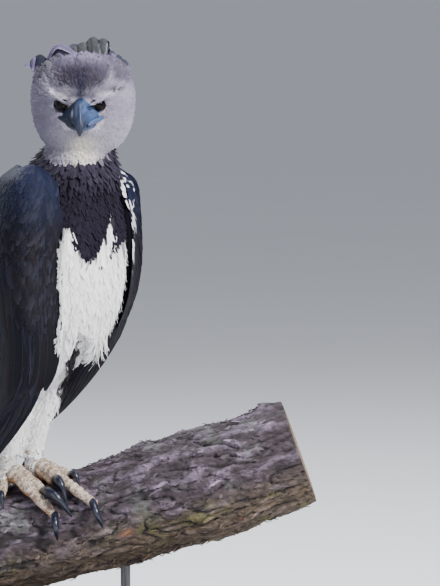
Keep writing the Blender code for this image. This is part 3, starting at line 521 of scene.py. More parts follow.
def add_tube(bm, loops):
    """Adds a closed tube, facing out, to a mesh that is being built."""
    fresh = []
    rings = [[bm.verts.new(p) for p in row] for row in loops]
    for a, b in zip(rings, rings[1:]):
        for k in range(len(a)):
            m = (k + 1) % len(a)
            fresh.append(bm.faces.new((a[k], a[m], b[m], b[k])))
    fresh.append(bm.faces.new(rings[0][::-1]))
    fresh.append(bm.faces.new(rings[-1]))
    bmesh.ops.recalc_face_normals(bm, faces=fresh)


def remeshed(mesh, voxel, smoothing):
    """Points and faces of a mesh made anew in even small faces, and smoothed."""
    obj = bpy.data.objects.new("remeshed", mesh)
    bpy.context.scene.collection.objects.link(obj)
    melt = obj.modifiers.new("melt", "REMESH")
    melt.mode = "VOXEL"
    melt.voxel_size = voxel
    soften = obj.modifiers.new("soften", "SMOOTH")
    soften.factor = 0.5
    soften.iterations = smoothing
    graph = bpy.context.evaluated_depsgraph_get()
    done = bpy.data.meshes.new_from_object(obj.evaluated_get(graph), depsgraph=graph)
    points = np.empty(len(done.vertices) * 3, dtype=np.float32)
    done.vertices.foreach_get("co", points)
    normals = np.empty(len(done.vertices) * 3, dtype=np.float32)
    done.vertices.foreach_get("normal", normals)
    corners = np.empty(len(done.loops), dtype=np.int32)
    done.loops.foreach_get("vertex_index", corners)
    bpy.data.objects.remove(obj)
    bpy.data.meshes.remove(done)
    return points.reshape(-1, 3).astype(float), normals.reshape(-1, 3).astype(float), corners.reshape(-1, 4)


def in_bird(points):
    """World points in the bird's frame."""
    return transformed(points, TO_BIRD)


def in_head(points):
    """World points in the head's frame."""
    return transformed(points, HEAD_TO_WORLD.inverted())


def head_share(points):
    """1 on the head, 0 on the neck and body, smooth between."""
    h = in_head(points)
    low = 0.086 - 0.020 * soft_step(h[:, 1], -0.05, 0.03)
    return soft_step(h[:, 2] + low, -0.0015, 0.0015)


# The collar's lower edge: angle from the body's front towards its left, in degrees, and height in metres
COLLAR_EDGE = (
    (-180.0, (0.100,)),
    (-115.0, (0.140,)),
    (-95.0, (0.330,)),
    (-60.0, (0.408,)),
    (-35.5, (0.412,)),
    (-28.0, (0.404,)),
    (-25.3, (0.421,)),
    (-22.9, (0.400,)),
    (-19.1, (0.384,)),
    (-14.8, (0.374,)),
    (-9.9, (0.366,)),
    (-6.0, (0.374,)),
    (0.0, (0.376,)),
    (5.5, (0.370,)),
    (10.0, (0.374,)),
    (14.5, (0.382,)),
    (20.0, (0.389,)),
    (33.0, (0.396,)),
    (60.0, (0.400,)),
    (95.0, (0.330,)),
    (115.0, (0.140,)),
    (180.0, (0.100,)),
)
COLLAR_TABLE = np.array([(a, smooth_at(COLLAR_EDGE, a)[0]) for a in np.arange(-180, 181, 0.5)])

# The white tongue that runs up into the collar: height, and its middle and half width in degrees
TONGUE_HEIGHTS = (0.350, 0.366, 0.392, 0.425, 0.436)
TONGUE_MIDDLE = (-1.5, 0.5, 5.0, 10.5, 12.0)
TONGUE_HALF = (8.0, 7.0, 5.8, 3.4, 0.0)


def body_angle(bird):
    """Angle round the body from its front towards its left, in degrees, of points in the bird's frame."""
    spine_y = -0.01 - 0.10 * (bird[:, 2] - 0.10)
    return np.degrees(np.arctan2(bird[:, 0] - 0.004, -(bird[:, 1] - spine_y - 0.015)))


# The fold between the leg and the flank, painted dark as shade: height, and its first and last angle in degrees
FOLD_HEIGHTS = (0.130, 0.150, 0.163, 0.178, 0.185, 0.192, 0.197, 0.205, 0.214, 0.226, 0.240, 0.246)
FOLD_FROM = (40, 24, 18, 6, -2, -6, -8, -12, -12, -11, -13, -11)
FOLD_TO = (40, 72, 74, 72, 50, 16, 13, 12, 9, 4, -7, -11)


def fold_share(points):
    """1 in the fold between the leg and the flank, which the skin sinks into and which is painted dark as shade."""
    bird = in_bird(points)
    angle, height = body_angle(bird), bird[:, 2]
    after = soft_step(angle - np.interp(height, FOLD_HEIGHTS, FOLD_FROM), -1.5, 1.5)
    before = 1 - soft_step(angle - np.interp(height, FOLD_HEIGHTS, FOLD_TO), -1.5, 1.5)
    return after * before * (height > FOLD_HEIGHTS[0]) * (height < FOLD_HEIGHTS[-1])


def near_white(points):
    """1 on the black just above or beside the white, where the coat's feathers stay short."""
    down = turned(np.array((0, 0, -1.0)), TO_WORLD)
    return 1.0 - np.minimum(dark_share(points + 0.008 * down), dark_share(points + 0.018 * down))


def above_fold(points):
    """1 just above the fold painted dark as shade, where the coat's feathers stay short."""
    down = turned(np.array((0, 0, -1.0)), TO_WORLD)
    near = np.maximum(fold_share(points + 0.016 * down), fold_share(points + 0.032 * down))
    return np.maximum(near, fold_share(points + 0.006 * down))


def dark_share(points):
    """1 on the black collar and back, and in the fold between the leg and the flank where dark stands for shade; 0 on
    the white breast, belly and thighs.
    """
    bird = in_bird(points)
    ragged = noise_at(bird, 140.0, 12.0)
    angle = body_angle(bird) + 0.9 * ragged
    height = bird[:, 2] + 0.003 * ragged
    dark = soft_step(height - np.interp(angle, COLLAR_TABLE[:, 0], COLLAR_TABLE[:, 1]), -0.002, 0.002)
    away = np.abs(angle - np.interp(height, TONGUE_HEIGHTS, TONGUE_MIDDLE))
    half = np.interp(height, TONGUE_HEIGHTS, TONGUE_HALF)
    tongue = (1 - soft_step(away - half, -0.5, 0.5)) * (height < TONGUE_HEIGHTS[-1])
    return np.maximum(dark * (1 - tongue), fold_share(points))


def thigh_share(points):
    """1 on the thighs, 0 on the body."""
    return 1 - soft_step(in_bird(points)[:, 2], 0.150, 0.200)


WHITE = np.array((0.90, 0.89, 0.92))
CREAM = np.array((0.74, 0.69, 0.60))
CHARCOAL = np.array((0.0115, 0.0092, 0.0180))
SLATE = np.array((0.006, 0.007, 0.013))
CHEEK = np.array((0.270, 0.248, 0.325))
CROWN = np.array((0.064, 0.057, 0.083))
DUSK = np.array((0.022, 0.019, 0.030))


def blend(a, b, share):
    """Colours between two, by a share for each point."""
    return a + (b - a) * np.clip(share, 0, 1)[:, None]


def face_place(points):
    """Places of head points as seen from in front: sideways and up from the head's middle, in metres, and depth."""
    h = in_head(points)
    return h[:, 0], 0.961 * h[:, 2] + 0.276 * h[:, 1], h[:, 1]


def dome_share(points):
    """1 on the puffed forehead, 0 outside it."""
    x, up, deep = face_place(points)
    off = np.sqrt(((x - 0.001) / 0.046) ** 2 + ((up - 0.035) / 0.033) ** 2)
    return (1 - soft_step(off, 0.82, 1.06)) * (1 - soft_step(deep, 0.0, 0.03))


def dome_ring(points):
    """1 in the groove round the puffed forehead."""
    x, up, _ = face_place(points)
    off = np.sqrt(((x - 0.001) / 0.046) ** 2 + ((up - 0.035) / 0.033) ** 2)
    return np.exp(-(((off - 1.13) / 0.11) ** 2))


def spot(x, up, centre_x, centre_up, wide, tall):
    """A soft spot on the face."""
    return np.exp(-(((x - centre_x) / wide) ** 2) - ((up - centre_up) / tall) ** 2)


def toned(tone, colour, share):
    """Colours turned towards one colour."""
    return blend(tone, np.tile(np.array(colour), (len(tone), 1)), share)


def head_tone(points):
    """The grey head: a dark mottled forehead, pale brows and cheeks, and a cream throat, with painted light and shade.
    """
    h = in_head(points)
    x, up, deep = face_place(points)
    front = 1 - soft_step(deep, -0.01, 0.03)
    mottle = noise_at(h, 95.0) + 0.6 * noise_at(h, 190.0, 4.0)
    cloud = noise_at(h, 38.0, 14.0)
    tone = np.tile(CHEEK, (len(h), 1))
    # Painted shade: the side at negative x, away from the key light, is turned greyer and darker.
    tone = toned(tone, (0.125, 0.117, 0.165), (1 - soft_step(x, -0.070, -0.022)) * 0.75)
    tone = toned(tone, (0.34, 0.32, 0.40), (spot(x, up, 0.050, -0.055, 0.030, 0.030) + spot(x, up, 0.010, -0.070, 0.05, 0.02)) * 0.7)
    tone = toned(tone, (0.40, 0.38, 0.45), (spot(x, up, -0.026, -0.052, 0.014, 0.010) + spot(x, up, 0.030, -0.050, 0.014, 0.010)) * 0.7)
    crown = soft_step(up + 0.010 * cloud + 0.25 * np.abs(x), 0.026, 0.048)
    tone = toned(tone, CROWN, crown * 0.92)
    # Painted shade: the crown is darker on the side at negative x.
    tone = toned(tone, (0.052, 0.046, 0.056), crown * (1 - soft_step(x, -0.060, -0.010)) * 0.75)
    tone = toned(tone, (0.15, 0.137, 0.18), crown * soft_step(mottle, 0.20, 0.70) * 0.6)
    tone = toned(tone, (0.050, 0.044, 0.066), soft_step(up, 0.056, 0.066) * 0.7)
    tone = toned(tone, DUSK * 1.4, crown * soft_step(-mottle, 0.20, 0.70) * 0.6)
    dome = dome_share(points)
    tone = toned(tone, (0.078, 0.068, 0.104), dome)
    # Painted highlight: the lit top of the puffed forehead in pale lilac.
    tone = toned(tone, (0.190, 0.165, 0.260), spot(x, up, 0.004, 0.058, 0.034, 0.013) * dome * 0.95)
    # Painted light: the pale rim round the puffed forehead stands for its lit edge feathers.
    rim = dome * (1 - dome_share(points + np.array((0, 0, -0.006)))) + spot(x, up, -0.042, 0.022, 0.006, 0.016) * dome
    tone = toned(tone, (0.26, 0.24, 0.31), rim + spot(x, up, 0.044, 0.018, 0.006, 0.016) * dome)
    tone = toned(tone, DUSK, dome * soft_step(mottle + 0.3 * cloud, 0.20, 0.55) * 0.65)
    tone = toned(tone, DUSK * 1.0, spot(x, up, -0.005, 0.031, 0.030, 0.016) * dome * 0.95)
    tone = tone * (1 + 0.16 * soft_step(cloud, -0.6, 0.6) - 0.08)[:, None]
    tone = toned(tone, (0.020, 0.022, 0.050), spot(x, up, 0.000, 0.009, 0.0058, 0.017) * front * 0.95)
    for x0, x1, up0, up1 in ((-0.044, -0.014, 0.004, -0.003), (0.020, 0.052, -0.005, 0.005)):
        along = np.clip((x - x0) / (x1 - x0), 0, 1)
        band = np.exp(-(((up - (up0 + (up1 - up0) * along + 0.004)) / 0.0042) ** 2))
        band = band * soft_step(x, x0 - 0.006, x0 + 0.004) * (1 - soft_step(x, x1 - 0.004, x1 + 0.006))
        tone = toned(tone, (0.50, 0.47, 0.55), band * front * 0.9)
    tone = toned(tone, DUSK, spot(x, up, 0.048, 0.010, 0.014, 0.0040) * front * 0.9)
    # Painted shadow: a dark patch beside the cere on the side at negative x.
    tone = toned(tone, (0.035, 0.038, 0.050), spot(x, up, -0.016, -0.012, 0.007, 0.009) * front * 0.85)
    tone = toned(tone, (0.30, 0.28, 0.38), spot(x, up, 0.018, -0.010, 0.006, 0.008) * front * 0.8)
    tone = toned(tone, CREAM, np.exp(-(((x - 0.003) / 0.020) ** 2)) * soft_step(-up, 0.050, 0.070) * front * 0.9)
    ear = spot(x, up, -0.070, 0.0, 0.016, 0.050) + spot(x, up, 0.082, 0.0, 0.010, 0.050)
    tone = toned(tone, (0.13, 0.12, 0.17), ear * 0.5)
    tone = toned(tone, (0.060, 0.056, 0.076), soft_step(deep, 0.0, 0.040) * 0.85)
    # Painted shade: darker round the eyes, in the sockets under the brows.
    tone = toned(tone, (0.030, 0.029, 0.038), (1 - soft_step(eye_distance(points), 0.0112, 0.0126)) * 0.9)
    return tone * (1 + 0.08 * noise_at(h, 60.0, 9.0))[:, None]


def plumage(points):
    """The coat's colour at many points of the skin."""
    bird = in_bird(points)
    count = len(points)
    dark = dark_share(points)
    angle = np.abs(body_angle(bird))
    white = np.tile(WHITE, (count, 1)) * (1 + 0.05 * noise_at(bird, 30.0))[:, None]
    black = blend(np.tile(CHARCOAL, (count, 1)), np.tile(SLATE, (count, 1)), soft_step(angle, 60, 110))
    black = black * (1 + 0.35 * noise_at(bird, 45.0, 3.0))[:, None]
    grey_top = soft_step(bird[:, 2], 0.475, 0.515)
    black = blend(black, np.tile(np.array((0.040, 0.035, 0.056)), (count, 1)), grey_top * 0.7)
    # Painted shade: the fold between the leg and the flank in a dark warm grey.
    black = toned(black, (0.020, 0.017, 0.018), fold_share(points) * 0.8)
    body = blend(white, black, dark)
    return blend(body, head_tone(points), head_share(points))


def make_skin():
    """One skin under the whole coat of the body, neck, head and thighs, with its unwrap."""
    points, normals, faces = remeshed(solid_copy(SKIN_NODES), SKIN_VOXEL, 6)
    head = head_share(points)
    thigh = thigh_share(points)
    face = 1 - soft_step(np.minimum(bill_distance(points), eye_distance(points) - 0.010), 0.004, 0.030)
    depth = BODY_COAT + (HEAD_COAT - BODY_COAT) * head + (THIGH_COAT - BODY_COAT) * thigh
    depth = depth - (HEAD_COAT - FACE_COAT) * face * head + FOLD_DEPTH * fold_share(points)
    _, up, deep = face_place(points)
    around = dome_ring(points) * head * (1 - soft_step(deep, 0.0, 0.03))
    depth = depth - DOME_RISE * dome_share(points) * head + DOME_GROOVE * around
    points = points - normals * depth[:, None]
    piece = mesh_piece("skin", points, [faces], skin_finish(), plumage(points))
    bpy.context.view_layer.objects.active = piece
    piece.select_set(True)
    bpy.ops.object.mode_set(mode="EDIT")
    bpy.ops.mesh.select_all(action="SELECT")
    bpy.ops.uv.smart_project(angle_limit=math.radians(70), island_margin=0.002)
    bpy.ops.object.mode_set(mode="OBJECT")
    piece.data.uv_layers[0].name = "OFBake"
    corner = np.empty(len(piece.data.loops) * 2, dtype=np.float32)
    piece.data.uv_layers[0].data.foreach_get("uv", corner)
    centres = corner.reshape(-1, 4, 2).mean(axis=1)
    return shown_as(piece, "white_feather", *SKIN_NODES), points, faces, centres


# Feathers
PATCH = 0.003


class Ground:
    """A surface that feathers grow from: the nearest point, the way out and the unwrap at many places."""

    def __init__(self, points, faces, centres):
        self.points = points
        self.faces = faces
        self.centres = centres
        self.tree = BVHTree.FromPolygons([Vector(p) for p in points], faces.tolist())

    def nearest(self, places):
        """Nearest surface points, the ways out there and their faces."""
        found = [self.tree.find_nearest(Vector(p)) for p in places]
        spots = np.array([f[0] for f in found])
        outs = np.array([f[1] for f in found])
        return spots, outs, np.array([f[2] for f in found])

    def scatter(self, spacing, keep):
        """Points spread evenly over the surface, spacing(points) apart, where keep(points) holds."""
        a, b, c, d = (self.points[self.faces[:, k]] for k in range(4))
        area = 0.5 * (np.linalg.norm(np.cross(b - a, c - a), axis=1) + np.linalg.norm(np.cross(c - a, d - a), axis=1))
        middle = (a + b + c + d) / 4
        wanted = spacing(middle)
        weight = area * keep(middle) / wanted**2
        tries = np.minimum(3.4 * weight, 60)
        picks = np.repeat(np.arange(len(self.faces)), RANDOM.poisson(tries))
        RANDOM.shuffle(picks)
        s, t = RANDOM.random((2, len(picks), 1))
        spots = (1 - s) * (1 - t) * a[picks] + s * (1 - t) * b[picks] + s * t * c[picks] + (1 - s) * t * d[picks]
        apart = wanted[picks]
        cell = float(apart.max()) if len(apart) else 1.0
        grid, chosen = {}, []
        keys = np.floor(spots / cell).astype(int)
        for i, (spot, key) in enumerate(zip(spots, keys)):
            around = [
                grid.get((key[0] + dx, key[1] + dy, key[2] + dz), ())
                for dx in (-1, 0, 1) for dy in (-1, 0, 1) for dz in (-1, 0, 1)
            ]
            limit = (apart[i] * 0.8) ** 2
            if all(((spots[j] - spot) ** 2).sum() > limit for near in around for j in near):
                grid.setdefault(tuple(key), []).append(i)
                chosen.append(i)
        return spots[chosen]

    def paths(self, roots, flow, lengths, steps, sink, lift, turn=0.0):
        """Paths that start a little under the surface and follow it along the flow, rising by lift at their ends.
        Each also turns aside by its own random angle of up to turn."""
        spots, outs, cells = self.nearest(roots)
        lean = RANDOM.uniform(-turn, turn, len(roots))[:, None]
        rows, ways = [], []
        for k in range(steps):
            t = k / (steps - 1)
            ahead = flow(spots, outs)
            ahead = unit(ahead - (ahead * outs).sum(axis=1, keepdims=True) * outs)
            ahead = ahead * np.cos(lean) + np.cross(outs, ahead) * np.sin(lean)
            rise = -sink * (1 - t) ** 2 + lift * t**1.3
            rows.append(spots + outs * (rise[:, None] if np.ndim(rise) else rise))
            ways.append(outs)
            if k < steps - 1:
                spots, fresh, _ = self.nearest(spots + ahead * (lengths / (steps - 1))[:, None])
                outs = unit(0.4 * outs + 0.6 * fresh)
        return np.stack(rows, axis=1), np.stack(ways, axis=1), cells


def vane_widths(steps, root=0.42, full=0.35, tip=0.18, round_from=0.66):
    """Half widths along a feather as shares: narrow at its root, full, then round at its tip."""
    t = np.linspace(0, 1, steps)
    width = np.minimum(1.0, root + (1 - root) * t / full)
    end = np.sqrt(np.clip(1 - (np.clip(t - round_from, 0, 1) / (1.01 - round_from)) ** 2, 0, 1))
    return np.maximum(width * end, tip * (t > 0.5))


def blades(name, finish, paths, outs, halves, tones, columns, thick, cup, patches, tip_tones=None, chances=None):
    """Joined closed feathers along paths. Each ring runs over the top from its left edge to its right and back
    underneath, and is higher at the shaft."""
    count, steps, _ = paths.shape
    heading = np.empty_like(paths)
    heading[:, 1:-1] = paths[:, 2:] - paths[:, :-2]
    heading[:, 0] = paths[:, 1] - paths[:, 0]
    heading[:, -1] = paths[:, -1] - paths[:, -2]
    heading = unit(heading)
    aside = unit(np.cross(heading, outs))
    up = np.cross(aside, heading)
    s = np.linspace(-1, 1, columns)
    under = s[1:-1][::-1]
    across = np.concatenate([s, under])
    side_of = np.concatenate([np.ones(columns), -np.ones(columns - 2)])
    cups = np.broadcast_to(np.asarray(cup, dtype=float), (count,))
    rise = -(halves * cups[:, None])[..., None] * across**2 + thick / 2 * side_of * (1 - across**2)
    points = paths[:, :, None] + aside[:, :, None] * (halves[:, :, None] * across)[..., None]
    points = points + up[:, :, None] * rise[..., None]
    ring = len(across)
    base = (np.arange(count) * steps * ring)[:, None, None]
    r = (np.arange(steps - 1) * ring)[None, :, None]
    k = np.arange(ring)[None, None, :]
    after = (k + 1) % ring
    quads = np.stack([base + r + k, base + r + after, base + r + ring + after, base + r + ring + k], axis=-1)
    quads = quads.reshape(-1, 4)
    caps = []
    low_side = [0] + [2 * columns - 2 - j for j in range(1, columns - 1)] + [columns - 1]
    first, last = base.ravel(), base.ravel() + (steps - 1) * ring
    for j in range(columns - 1):
        corners = list(dict.fromkeys((j, j + 1, low_side[j + 1], low_side[j])))
        caps.append(np.stack([last + c for c in corners], axis=-1))
        caps.append(np.stack([first + c for c in reversed(corners)], axis=-1))
    triangles = [c for c in caps if c.shape[1] == 3]
    squares = [quads] + [c for c in caps if c.shape[1] == 4]
    chances = RANDOM.random(count) if chances is None else chances
    t = np.broadcast_to(np.linspace(0, 1, steps)[None, :, None], points.shape[:3])
    vane = np.stack([np.broadcast_to(across, points.shape[:3]), t, np.broadcast_to(chances[:, None, None], t.shape)], -1)
    colour = np.broadcast_to(tones[:, None, None], points.shape).copy()
    if tip_tones is not None:
        colour = colour + (tip_tones - tones)[:, None, None] * (t**1.5)[..., None]
    spread = np.stack([np.broadcast_to(across, t.shape) * 0.5, t - 0.5], axis=-1) * PATCH
    place = (patches[:, None, None] + spread).reshape(-1, 2)
    faces = [np.concatenate(squares), np.concatenate(triangles)]
    piece = mesh_piece(
        name, points.reshape(-1, 3), faces, finish, colour.reshape(-1, 3), vane.reshape(-1, 3), place
    )
    part_rims(piece, ring, columns, steps)
    return piece


def body_flow(spots, outs):
    """Which way the coat lies: away from the bill on the head, and down and back on the body."""
    head = head_share(spots)[:, None]
    bill = np.array(HEAD_TO_WORLD @ Vector((0, -0.075, 0.004)))
    down = turned(np.array([[0.0, 0.30, -1.0]]), TO_WORLD)
    away = unit(spots - bill)
    return away * head + down * (1 - head)


def grouped(total, limit):
    """How to split many feathers so that no piece is too large."""
    parts = max(1, math.ceil(total / limit))
    return np.array_split(np.arange(total), parts)


def grow_coat(name, finish, slot, ground, zone, apart, length, half, steps, columns, lift, sink, turn, cup=0.35,
              tip_lift=0.0, shape=None, tone_jitter=0.10, tip_darken=None, thick=0.0006, share_limit=190000):
    """Covers one zone of the skin with its feathers. zone, apart, length, half and lift may be functions of points."""
    roots = ground.scatter(lambda p: np.full(len(p), apart) if np.isscalar(apart) else apart(p), zone)
    value = lambda v: np.full(len(roots), v) if np.isscalar(v) else v(roots)
    lengths = value(length) * RANDOM.uniform(0.82, 1.18, len(roots))
    wide = value(half) * RANDOM.uniform(0.85, 1.15, len(roots))
    high = value(lift) * RANDOM.uniform(0.6, 1.4, len(roots))
    paths, outs, cells = ground.paths(roots, body_flow, lengths, steps, sink, high, turn)
    if tip_lift:
        flick = RANDOM.uniform(0, tip_lift, len(roots))[:, None]
        paths[:, -1] += outs[:, -1] * flick
    widths = wide[:, None] * (vane_widths(steps) if shape is None else shape)[None]
    tones = plumage(roots) * RANDOM.uniform(1 - tone_jitter, 1 + tone_jitter, (len(roots), 1))
    tips = None if tip_darken is None else tones * tip_darken
    patches = ground.centres[cells]
    ring = 2 * columns - 2
    each = 2 * ring * (steps - 1) + 4 * columns - 8 + 4
    made = []
    for i, part in enumerate(grouped(len(roots), share_limit // each)):
        piece = blades(
            f"{name}_{i + 1}", finish, paths[part], outs[part], widths[part], tones[part], columns, thick, cup,
            patches[part], None if tips is None else tips[part],
        )
        made.append(shown_as(piece, slot))
    print(name, len(roots), "feathers")
    return made


# Wings
WING_STEPS_ALONG = 90
DRAWN_BACK = 0.010
WING_STEPS_ACROSS = 46


def wing_point(u, v, wing, body):
    """A point of a folded wing's outer surface, as for the left side: u from its front edge to its back, v from
    shoulder to tip. It never comes closer to the body than WING_CLEAR."""
    front, back = smooth_at(WING_FRONT, v), smooth_at(WING_BACK, v)
    bulge = smooth_at(WING_BULGE, v)[0]
    forward, up, out = (a + (b - a) * u**1.12 for a, b in zip(front, back))
    out += bulge * math.sin(math.pi * u**0.60) ** 0.75
    point = Vector((out, -forward, up)) * CM
    share = max(0.0, min(1.0, (v - LOOSE_FROM) / (LOOSE_TO - LOOSE_FROM)))
    point += wing["loose"] * (share * share * (3 - 2 * share))
    point.y += wing["front_back"] * (1 - u) ** 1.5 * min(1.0, 6 * v, 2.5 * (1 - v))
    nearest, normal, _, _ = body.find_nearest(point)
    lacking = WING_CLEAR * min(1.0, 0.35 + 2 * u) - (point - nearest).dot(normal)
    if lacking > 0:
        point += normal * (lacking * max(0.0, min(1.0, 2.5 - 3.3 * normal.z)))
    point.x = max(point.x, WING_MIDLINE)
    point.z += wing["lift"]
    return point


class WingSurface:
    """The outer surface of one folded wing in the world, read at any (u, v)."""

    def __init__(self, name):
        self.wing = WINGS[name]
        mirror = Vector((self.wing["side"], 1, 1))
        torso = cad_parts["torso"].data
        faces = [list(p.vertices)[:: self.wing["side"]] for p in torso.polygons]
        body = BVHTree.FromPolygons([(TO_BIRD @ v.co) * mirror for v in torso.vertices], faces)
        rows = []
        for i in range(WING_STEPS_ALONG):
            v = i / (WING_STEPS_ALONG - 1)
            row = [wing_point(k / (WING_STEPS_ACROSS - 1), v, self.wing, body) for k in range(WING_STEPS_ACROSS)]
            rows.append(row)
        grid = np.array([[tuple(p) for p in row] for row in rows])
        for _ in range(3):
            grid[1:-1] = 0.25 * grid[:-2] + 0.5 * grid[1:-1] + 0.25 * grid[2:]
            grid[:, 1:-1] = 0.25 * grid[:, :-2] + 0.5 * grid[:, 1:-1] + 0.25 * grid[:, 2:]
        if self.wing["side"] < 0:
            grid = self.drawn_back(grid)
        across = np.gradient(grid, axis=1)
        along = np.gradient(grid, axis=0)
        normal = unit(np.cross(across, along))
        middle = grid * np.array((0.0, 0.4, 1.0))
        normal *= np.sign(((grid - middle) * normal).sum(axis=-1, keepdims=True))
        side = np.array((self.wing["side"], 1.0, 1.0))
        self.grid = transformed(grid * side, TO_WORLD)
        self.normal = turned(normal * side, TO_WORLD)

    def drawn_back(self, grid):
        """The near wing's surface with its front edge drawn back, so that more of the breast shows."""
        u = np.linspace(0, 1, WING_STEPS_ACROSS)
        fresh = grid.copy()
        for i, row in enumerate(grid):
            v = i / (WING_STEPS_ALONG - 1)
            start = DRAWN_BACK * float(soft_step(v, 0.08, 0.18) * (1 - soft_step(v, 0.46, 0.58)))
            for axis in range(3):
                fresh[i, :, axis] = np.interp(start + (1 - start) * u, u, row[:, axis])
        return fresh

    def at(self, u, v):
        """Points of the surface and the ways out there."""
        x = np.minimum(u, 1) * (WING_STEPS_ACROSS - 1)
        y = np.clip(v, 0, 1) * (WING_STEPS_ALONG - 1)
        i = np.minimum(y.astype(int), WING_STEPS_ALONG - 2)
        k = np.clip(x.astype(int), 0, WING_STEPS_ACROSS - 2)
        fy, fx = (y - i)[..., None], (x - k)[..., None]
        read = lambda g: (
            (g[i, k] * (1 - fx) + g[i, k + 1] * fx) * (1 - fy) + (g[i + 1, k] * (1 - fx) + g[i + 1, k + 1] * fx) * fy
        )
        return read(self.grid), unit(read(self.normal))


def wing_core(name, surface):
    """The wing's closed body under its feathers."""
    rows = int(WING_STEPS_ALONG * WING_CORE_END)
    v = np.linspace(0, 1, WING_STEPS_ALONG)[:rows, None]
    u = np.linspace(0, 1, WING_STEPS_ACROSS)[None, :]
    depth = 0.003 + WING_THICK * np.maximum(0, 1 - v / 0.60) ** 0.6 + 0.005 * np.maximum(0, 1 - v)
    depth = depth * (0.3 + 0.7 * np.sin(math.pi * (0.14 + 0.72 * u)))
    outer = surface.grid[:rows] - surface.normal[:rows] * 0.0012
    inner = surface.grid[:rows] - surface.normal[:rows] * (depth * 0.92)[..., None]
    loops = np.concatenate([outer, inner[:, ::-1]], axis=1)
    tone = np.tile(WING_SLATE, (loops.shape[0] * loops.shape[1], 1))
    return tube(name, loops, FINISH["wing_core"], tone)


def ring_faces(rows, ring):
    """Faces of a closed tube of rings with a fan over each end."""
    r = np.arange(rows - 1)[:, None] * ring
    k = np.arange(ring)[None, :]
    after = (k + 1) % ring
    sides = np.stack([r + k, r + after, r + ring + after, r + ring + k], axis=-1).reshape(-1, 4)
    k = np.arange(ring)
    low, high = rows * ring, rows * ring + 1
    start = np.stack([np.full(ring, low), (k + 1) % ring, k], axis=-1)
    end = np.stack([np.full(ring, high), (rows - 1) * ring + k, (rows - 1) * ring + (k + 1) % ring], axis=-1)
    return sides, np.concatenate([start, end])


def tube(name, loops, finish, tone=None):
    """A closed body through rings of points, with its unwrap."""
    rows, ring, _ = loops.shape
    ends = np.stack([loops[0].mean(axis=0), loops[-1].mean(axis=0)])
    points = np.concatenate([loops.reshape(-1, 3), ends])
    sides, fans = ring_faces(rows, ring)
    flip = signed_volume(points, sides, fans) < 0
    faces = [f[:, ::-1] if flip else f for f in (sides, fans)]
    around, down = np.meshgrid(np.linspace(0.02, 0.98, ring), np.linspace(0.02, 0.98, rows))
    place = np.concatenate([np.stack([around, down], axis=-1).reshape(-1, 2), [[0.5, 0.01], [0.5, 0.99]]])
    if tone is not None and len(tone) < len(points):
        tone = np.concatenate([tone, tone[:1], tone[-1:]])
    return mesh_piece(name, points, faces, finish, tone, None, place)


def signed_volume(points, sides, fans):
    """Volume of a closed mesh, below zero where its faces point in."""
    triangles = np.concatenate([sides[:, :3], sides[:, [0, 2, 3]], fans])
    a, b, c = (points[triangles[:, k]] for k in range(3))
    return (a * np.cross(b, c)).sum()


# Tiers: count, root u and v and tip u and v from first to last, half width, lift, steps, slate or painted blue sheen
# share
WING_TIERS = (
    ("primaries", 10, (0.06, 0.36), (0.44, 0.48), (0.05, 0.72), (0.99, 0.90), 0.0195, 0.0006, 15, 0.0),
    ("secondaries", 13, (0.24, 0.96), (0.44, 0.40), (0.20, 0.97), (0.82, 0.74), 0.0195, 0.0034, 13, 0.0),
    ("greater", 16, (0.09, 0.97), (0.33, 0.29), (0.08, 0.97), (0.57, 0.50), 0.0160, 0.0056, 11, 0.1),
    ("median", 16, (0.09, 0.98), (0.26, 0.22), (0.09, 0.98), (0.43, 0.38), 0.0135, 0.0070, 10, 0.2),
    ("lesser_low", 17, (0.08, 0.98), (0.21, 0.17), (0.08, 0.98), (0.34, 0.30), 0.0120, 0.0076, 9, 0.4),
    ("lesser_mid", 17, (0.08, 0.97), (0.15, 0.12), (0.08, 0.97), (0.265, 0.23), 0.0115, 0.0080, 8, 0.6),
    ("lesser_high", 16, (0.08, 0.97), (0.10, 0.07), (0.08, 0.97), (0.200, 0.17), 0.0110, 0.0080, 8, 0.7),
    ("lesser_top", 15, (0.04, 0.96), (0.045, 0.03), (0.04, 0.96), (0.140, 0.12), 0.0108, 0.0078, 8, 0.9),
    ("shoulder", 13, (0.06, 0.94), (0.00, 0.00), (0.05, 0.95), (0.085, 0.075), 0.0100, 0.0070, 7, 1.0),
)
WING_SLATE = np.array((0.0034, 0.0036, 0.0068))
WING_BROWN = np.array((0.0080, 0.0056, 0.0085))
# Painted sheen: the sky's blue mirrored on the shoulder, painted into the feathers' colour.
WING_BLUE_SHEEN = np.array((0.0050, 0.0085, 0.0300))
WORN_EDGE = np.array((0.016, 0.016, 0.022))
FRONT_LOBE = ("lobe", 9, (0.015, 0.24), (0.40, 0.40), (0.000, 0.20), (0.655, 0.680), 0.0135, 0.0060, 12, 0.0)
FAR_EDGE = -0.002
VANE_TILT = math.radians(6)


def tier_tones(count, blue):
    """Colours of one tier's feathers: slate, some browner, and towards the shoulder a painted blue sheen."""
    base = blend(np.tile(WING_SLATE, (count, 1)), np.tile(WING_BROWN, (count, 1)), RANDOM.uniform(0, 1, count) ** 2)
    # Painted sheen: blue towards the shoulder.
    base = blend(base, np.tile(WING_BLUE_SHEEN, (count, 1)), np.clip(blue + RANDOM.uniform(-0.2, 0.2, count), 0, 1))
    return base * RANDOM.uniform(0.75, 1.25, (count, 1))


